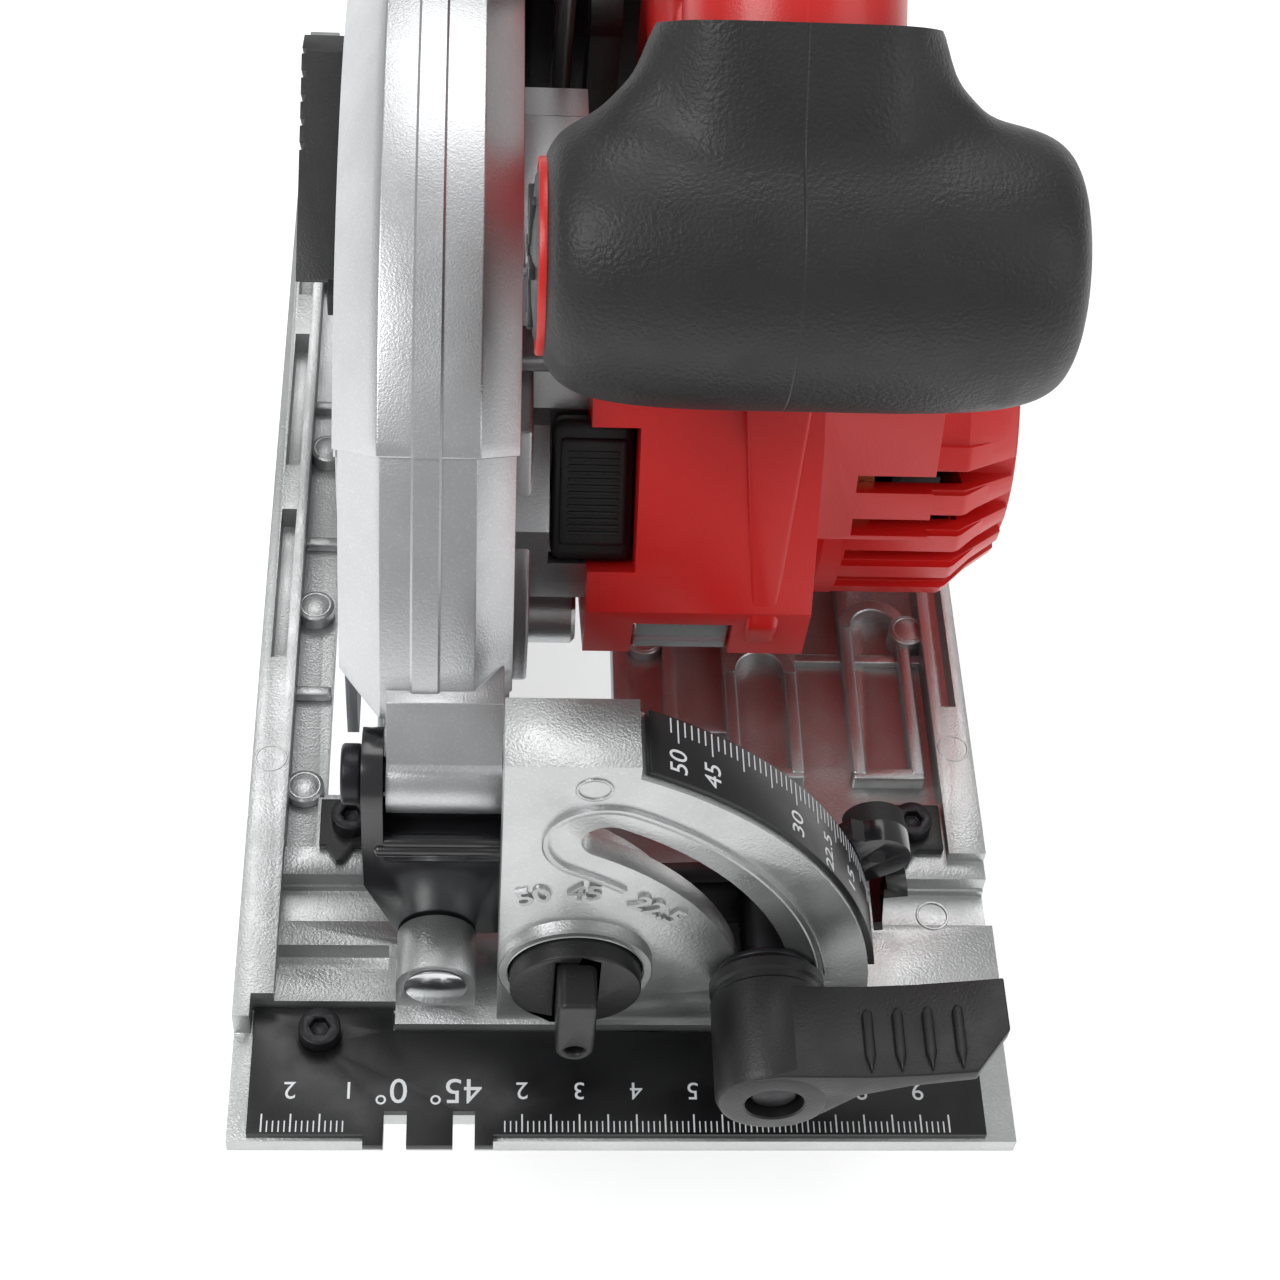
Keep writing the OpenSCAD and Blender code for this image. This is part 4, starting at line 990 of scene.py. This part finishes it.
@dataclass
class MotorHousing:
    """The red housing with its ridge, its vents and its lamp."""

    motor: Point2 = MOTOR
    radius: float = 36.0
    end_x: float = 108.0
    bar_starts: tuple[float, ...] = (145.6, 159.8, 173.8, 187.8, 201.8)
    bar_sweep: float = 6.4
    ridge_x: Point2 = (58.6, 67.6)
    ridge_foot_z: float = 60.0
    ridge_crown_z: float = 80.0

    def vent_surround(self) -> bpy.types.Object:
        """The raised panel round the vents, wrapped on the housing."""
        parts = []
        for start in self.bar_starts:
            section = [(self.radius - 0.6, 74.5), (self.radius + 0.7, 75.5), (self.radius + 1.1, 77.0),
                       (self.radius + 1.1, 97.6), (self.radius + 0.6, 98.6), (self.radius - 7.8, 107.6),
                       (self.radius - 8.6, 107.6), (self.radius - 0.6, 98.0)]
            parts.append(turned("vent_bar", section, self.motor, Axis.X, 10, start, self.bar_sweep))
        side = [(self.radius - 0.6, 70.5), (self.radius + 0.6, 72.0), (self.radius + 1.1, 73.5),
                (self.radius + 1.1, 77.5), (self.radius - 0.6, 77.5)]
        parts.append(turned("vent_side", side, self.motor, Axis.X, 40, 150.0, 60.0))
        return joined("vent_surround", parts)

    def ridge(self) -> bpy.types.Object:
        """The tapered ridge down the middle of the nose."""
        outline = [(72.6, 90.0), (57.4, 57.5), (55.6, 52.0), (57.6, 45.5), (66.0, 42.0), (76.0, 70.0), (84.0, 96.0),
                   (78.0, 97.0)]
        left, right = self.ridge_x
        middle = (left + right) / 2
        bar = plate("ridge", outline, Axis.X, left, right)
        for corner in bar.data.vertices:
            x, z = corner.co.x / MM, corner.co.z / MM
            if x > middle and z < self.ridge_foot_z:
                corner.co.x -= 3.2 * MM
            if x < middle and z > self.ridge_crown_z:
                corner.co.x -= 3.0 * MM
        return rounded(bar, 1.2, 3)

    def end_face(self) -> list[bpy.types.Object]:
        """Rings and spokes over the motor's free end."""
        end = self.end_x
        parts = [ring("end_ring", 24.6, 26.6, self.motor, Axis.X, end - 0.4, end + 0.9, 72),
                 ring("end_ring", 11.0, 13.0, self.motor, Axis.X, end - 0.4, end + 0.9, 56)]
        spoke = block("end_spoke", (end - 0.4, 12.6, -0.9), (end + 0.7, 25.0, 0.9), 0.35)
        parts += repeated(spoke, [about_x(self.motor, 40.0 * k + 10.0) for k in range(9)])
        parts.append(ring("housing_seam", self.radius - 0.5, self.radius + 0.7, self.motor, Axis.X, 70.4, 68.6, 40,
                          196.0, 130.0))
        return parts

    def build(self) -> None:
        """Builds the housing, the lamp and the screws."""
        parts = [eased("motor_housing", 1.1, 3, 24.0), self.vent_surround(), self.ridge(), *self.end_face()]
        settle(joined("motor_housing_shell", parts), RED_PLASTIC, "motor_housing")
        dress("led_lens", CLEAR, 0.7, 3)
        dress("housing_screws", BLACKED, 0.2)


@dataclass
class Handles:
    """The soft front grip and the red main handle with its soft rear."""

    grip: Point2 = (62.0, 135.0)
    grip_x: Point2 = (19.5, 101.5)
    middle: float = 57.0
    grip_voxel: float = 1.1
    handle_voxel: float = 1.15
    motor_room: float = 36.6
    neck_cut: Point3 = (0.0, 85.5, 160.2)
    neck_normal: Point3 = (0.0, 0.67, 0.74)
    bar_radius: float = 15.0
    bar_widening: float = 1.14

    def front_grip(self) -> None:
        """One soft form: the barrel, and the neck that flows out of it."""
        low, high = self.grip_x
        section = [(0.0, low), (15.0, low), (18.4, low + 1.4), (20.8, low + 5.0), (22.2, low + 12.0),
                   (22.8, low + 22.0), (22.8, high - 24.0), (22.2, high - 12.0), (20.6, high - 4.6),
                   (17.6, high - 0.8), (12.0, high), (0.0, high)]
        barrel = turned("grip_barrel", section, self.grip, Axis.X, 80)
        neck = rounded(plate("grip_neck", [(50.0, 128.0), (78.0, 118.0), (98.0, 142.0), (110.0, 160.0), (96.0, 190.0),
                                           (77.0, 178.0), (59.0, 158.0)], Axis.X, 37.6, 76.4), 7.5, 4)
        outlines = (
            (33.6, 80.4, [(52.0, 128.0), (76.0, 119.0), (92.0, 145.0), (80.0, 172.0), (62.0, 158.0)]),
            (28.0, 86.0, [(52.0, 128.0), (74.0, 120.0), (87.0, 143.0), (73.0, 163.0), (60.0, 156.0)]))
        shoulders = [rounded(plate("grip_shoulder", outline, Axis.X, left, right), 6.0, 4)
                     for left, right, outline in outlines]
        form = joined("front_grip", [barrel, neck, *shoulders])
        modify(form, "REMESH", mode="VOXEL", voxel_size=self.grip_voxel * MM, use_smooth_shade=True)
        modify(form, "SMOOTH", factor=0.7, iterations=60)
        with editing(form):
            bpy.ops.mesh.bisect(plane_co=Vector(self.neck_cut) * MM, plane_no=self.neck_normal, clear_outer=True,
                                use_fill=True)
        carved(form, [disc("cap_seat", 15.1, self.grip, Axis.X, low - 4.0, low + 1.0)])
        settle(form, OVERMOULD, "handle_overmould", True, 50.0)

    def end_cap(self) -> None:
        """The grip's left end: a red ring round a ribbed black disc."""
        low = self.grip_x[0]
        band = turned("grip_ring", [(14.0, low + 1.0), (15.0, low + 1.0), (15.0, low - 0.2), (14.8, low - 0.5),
                                    (14.2, low - 0.5), (14.0, low - 0.2)], self.grip, Axis.X, 72)
        settle(band, RED_PLASTIC, "grip_end_cap")
        face = turned("grip_end_face", [(0.0, low - 1.5), (8.0, low - 1.3), (12.0, low - 0.9), (13.4, low - 0.3),
                                        (13.9, low + 0.6), (13.9, low + 1.0), (0.0, low + 1.0)], self.grip, Axis.X,
                      64)
        rib = block("end_rib", (low - 1.9, 3.0, -1.0), (low - 0.4, 11.2, 1.0), 0.3)
        ribs = repeated(rib, [about_x(self.grip, 30.0 + 60.0 * k) for k in range(6)])
        settle(joined("grip_end_face", [face, *ribs]), BLACK_PLASTIC, "handle_overmould", False)

    def handle_form(self) -> bpy.types.Object:
        """The main handle as one smooth solid: bar, rear post and foot."""
        bar = [(64.0, 138.0), (76.0, 151.0), (88.0, 163.5), (101.0, 170.6), (118.0, 173.0), (140.0, 173.0),
               (176.0, 173.6), (194.0, 171.0), (203.0, 160.0), (209.0, 144.0), (213.0, 126.0), (213.0, 113.0)]
        clear_selection()
        bpy.ops.curve.primitive_nurbs_path_add(location=(0.0, 0.0, 0.0))
        path = bpy.context.object
        spline = path.data.splines[0]
        spline.points.add(len(bar) - len(spline.points))
        for point, (y, z) in zip(spline.points, bar):
            point.co = (self.middle * MM, y * MM, z * MM, 1.0)
        spline.use_endpoint_u = True
        spline.order_u = 3
        path.data.bevel_depth = self.bar_radius * MM
        path.data.bevel_resolution = 10
        path.data.resolution_u = 8
        path.data.use_fill_caps = True
        bpy.ops.object.convert(target="MESH")
        tube = bpy.context.object
        tube.data.transform(shift(self.middle) @ Matrix.Diagonal((self.bar_widening, 1, 1, 1)) @ shift(-self.middle))
        foot = plate("foot", [(84.0, 104.3), (234.8, 104.3), (234.8, 112.0), (226.0, 119.0), (200.0, 118.5),
                              (124.0, 117.0), (112.0, 126.0), (106.6, 150.0), (98.0, 158.0), (86.0, 150.0)], Axis.X,
                     40.2, 73.8)
        rounded(foot, 4.0, 4)
        form = joined("handle_form", [tube, foot])
        modify(form, "REMESH", mode="VOXEL", voxel_size=self.handle_voxel * MM, use_smooth_shade=True)
        modify(form, "SMOOTH", factor=0.6, iterations=8)
        motor_room = [(0.0, 10.0), (self.motor_room, 10.0), (self.motor_room, 110.0), (0.0, 110.0)]
        cutters = [turned("motor_room", motor_room, MOTOR, Axis.X, 64),
                   block("trigger_room", (self.middle - 8.9, 110.8, 140.0), (self.middle + 8.9, 141.2, 169.0))]
        return carved(form, cutters)

    def cut_part(self, source: bpy.types.Object, name: str,
                 cuts: Sequence[tuple[Point3, Point3]]) -> bpy.types.Object:
        """A copy of a form with everything past each plane cut away and closed.

        Args:
            source: the form.
            name: the copy's name.
            cuts: planes as a point in millimetres and an outward normal.

        Returns:
            The part that is left.
        """
        part = copied(source, name, Matrix.Identity(4))
        for place, outward in cuts:
            with editing(part):
                bpy.ops.mesh.bisect(plane_co=Vector(place) * MM, plane_no=outward, clear_outer=True, use_fill=True)
        return part

    def main_handle(self) -> None:
        """The red handle, and the soft zone over its rear."""
        form = self.handle_form()
        front = self.cut_part(form, "handle_front", [((0, 152, 0), (0, 1, 0)), ((0, 85.4, 160.0), (0, -0.67, -0.74))])
        base = self.cut_part(form, "handle_base", [((0, 0, 150), (0, 0, 1)), ((0, 92, 0), (0, -1, 0))])
        front_low = self.cut_part(front, "handle_front_top", [((0, 0, 150), (0, 0, -1))])
        bpy.data.objects.remove(front)
        settle(joined("main_handle", [front_low, base]), RED_SHELL, "handle_shell", True, 50.0)
        rear = self.cut_part(form, "handle_soft_rear", [((0, 152.4, 0), (0, -1, 0)), ((0, 0, 150.4), (0, 0, -1))])
        settle(rear, OVERMOULD, "rear_overmould", True, 50.0)
        bpy.data.objects.remove(form)

    def build(self) -> None:
        """Builds both handles, the trigger and the lock-off."""
        self.front_grip()
        self.end_cap()
        self.main_handle()
        dress("trigger", BLACK_PLASTIC, 1.4, 3)
        dress("lock_off_button", BLACK_PLASTIC, 0.8, 3)


@dataclass
class Controls:
    """The lock button, the depth clamp and the lower guard's lever."""

    arbor: Point2 = ARBOR
    lock_turn: float = 54.0
    lock_x: float = 28.3

    def lock_button(self) -> None:
        """The lock button: a stalk, a cap with soft corners and a ribbed face."""
        parts = [disc("lock_stalk", 1.9, (self.lock_x, 0.0), Axis.Z, 12.0, 64.0, 0.3, 32),
                 block("lock_cap", (23.7, -12.7, 63.0), (37.9, 12.7, 69.6), 1.9, 4),
                 block("lock_face", (25.0, -9.6, 67.0), (36.8, 9.6, 70.6), 0.8, 3)]
        rib = block("lock_rib", (26.4, -7.5, 70.2), (35.4, -6.9, 71.0), 0.2)
        parts += repeated(rib, [shift(y=1.2 * k) for k in range(13)])
        button = joined("lock_button_finished", parts)
        button.data.transform(about_x(self.arbor, self.lock_turn))
        settle(button, BLACK_PLASTIC, "lock_button")

    def build(self) -> None:
        """Builds the small controls."""
        self.lock_button()
        dress("depth_lever", BLACK_PLASTIC, 0.8, 3)
        dress("depth_bolt", BLACKED, 0.4)
        dress("guard_lever", BLACK_PLASTIC, 0.8, 3)
        dress("lower_guard", CAST_SILVER, 0.3, 2, 24.0)


@dataclass
class Battery:
    """The battery pack with its ribs, its base and its latches."""

    low: Point3 = (19.0, 190.4, 42.0)
    high: Point3 = (95.0, 302.0, 100.0)

    def build(self) -> None:
        """Builds the pack, the base and the latches."""
        parts = [eased("battery_pack", 2.2, 4)]
        for x0, x1 in ((self.low[0] - 0.7, self.low[0] + 0.6), (self.high[0] - 0.6, self.high[0] + 0.7)):
            rib = block("pack_rib", (x0, 280.0, 50.0), (x1, 282.4, 88.0), 0.5)
            parts += repeated(rib, [shift(y=6.0 * k) for k in range(4)])
        rib = block("pack_rib", (33.0, 301.2, 52.0), (36.0, 302.8, 84.0), 0.6)
        parts += repeated(rib, [shift(10.6 * k) for k in range(5)])
        for z in (48.6, 92.4):
            for x0, x1 in ((self.low[0] - 0.6, self.low[0] + 0.5), (self.high[0] - 0.5, self.high[0] + 0.6)):
                parts.append(block("pack_belt", (x0, 200.0, z - 0.9), (x1, 299.0, z + 0.9), 0.4))
        parts.append(block("pack_foot", (30.0, 204.0, self.low[2] - 0.8), (84.0, 292.0, self.low[2] + 0.6), 0.6))
        parts.append(rounded(plate("gauge_frame", [(44.0, 86.6), (70.0, 86.6), (72.0, 88.6), (72.0, 94.0),
                                                   (70.0, 96.0), (44.0, 96.0), (42.0, 94.0), (42.0, 88.6)], Axis.Y,
                                   301.4, 303.0), 0.5, 2))
        dot = disc("gauge_dot", 1.3, (48.0, 91.3), Axis.Y, 302.4, 303.5, 0.3, 20)
        parts += repeated(dot, [shift(6.0 * k) for k in range(4)])
        parts.append(block("grip_step", (26.0, 240.0, self.high[2] - 0.6), (88.0, 297.0, self.high[2] + 1.1), 0.9, 3))
        settle(joined("battery_case", parts), BLACK_PLASTIC, "battery_pack")
        dress("battery_base", BLACK_PLASTIC, 0.8, 3)
        dress("battery_latch_left", RED_PLASTIC, 0.8, 3)
        dress("battery_latch_right", RED_PLASTIC, 0.8, 3)


@dataclass
class InnerWorks:
    """Nodes whose shape is kept, each given its finish."""

    finishes: dict[str, Finish] = field(default_factory=lambda: {
        "blade": BLADE_STEEL, "arbor": MACHINED, "inner_flange": MACHINED, "outer_flange": MACHINED,
        "blade_bolt": BLACKED, "reduction_gear": MACHINED, "motor_shaft": GROUND_PIN, "rotor_core": MACHINED,
        "fan": BLACK_PLASTIC, "stator": COPPER, "motor_bearings": GROUND_PIN, "spindle_bearings": GROUND_PIN,
        "switch_body": BLACK_PLASTIC, "control_board": BOARD, "terminal_block": BLACK_PLASTIC, "led_board": BOARD,
        "guard_spring": GROUND_PIN, "guard_bumper": RUBBER, "lock_spring": GROUND_PIN})
    slots: dict[str, Finish] = field(default_factory=lambda: {
        "cast_silver": CAST_SILVER, "cast_shoe": CAST_SHOE, "steel_bright": GROUND_PIN, "steel_dark": BLACKED,
        "steel_black_gloss": GLOSS_BLACK, "blade_steel": BLADE_STEEL, "scale_black": SCALE_BLACK,
        "plastic_black": BLACK_PLASTIC, "plastic_red": RED_PLASTIC, "overmould_black": OVERMOULD, "lens_clear": CLEAR,
        "board_green": BOARD, "copper_winding": COPPER, "rubber_bumper": RUBBER})

    def build(self) -> None:
        """Gives every CAD node, kept or replaced, its finish."""
        for name, node in frame["nodes"].items():
            finish = self.finishes.get(name, self.slots[SLOT_OF[name]])
            node.data.materials.clear()
            node.data.materials.append(finish.material())
        log.info("finished %d nodes of the frame", len(frame["nodes"]))


def main() -> None:
    """Builds the studio and every sub-assembly in order."""
    Studio().build()
    for assembly in (Shoe(), BevelStation(), TiltCarriage(), UpperGuard(), GearCase(), MotorHousing(), Handles(),
                     Controls(), Battery(), InnerWorks()):
        log.info("== %s", type(assembly).__name__)
        assembly.build()
    clear_selection()


if __name__ == "__main__":
    main()
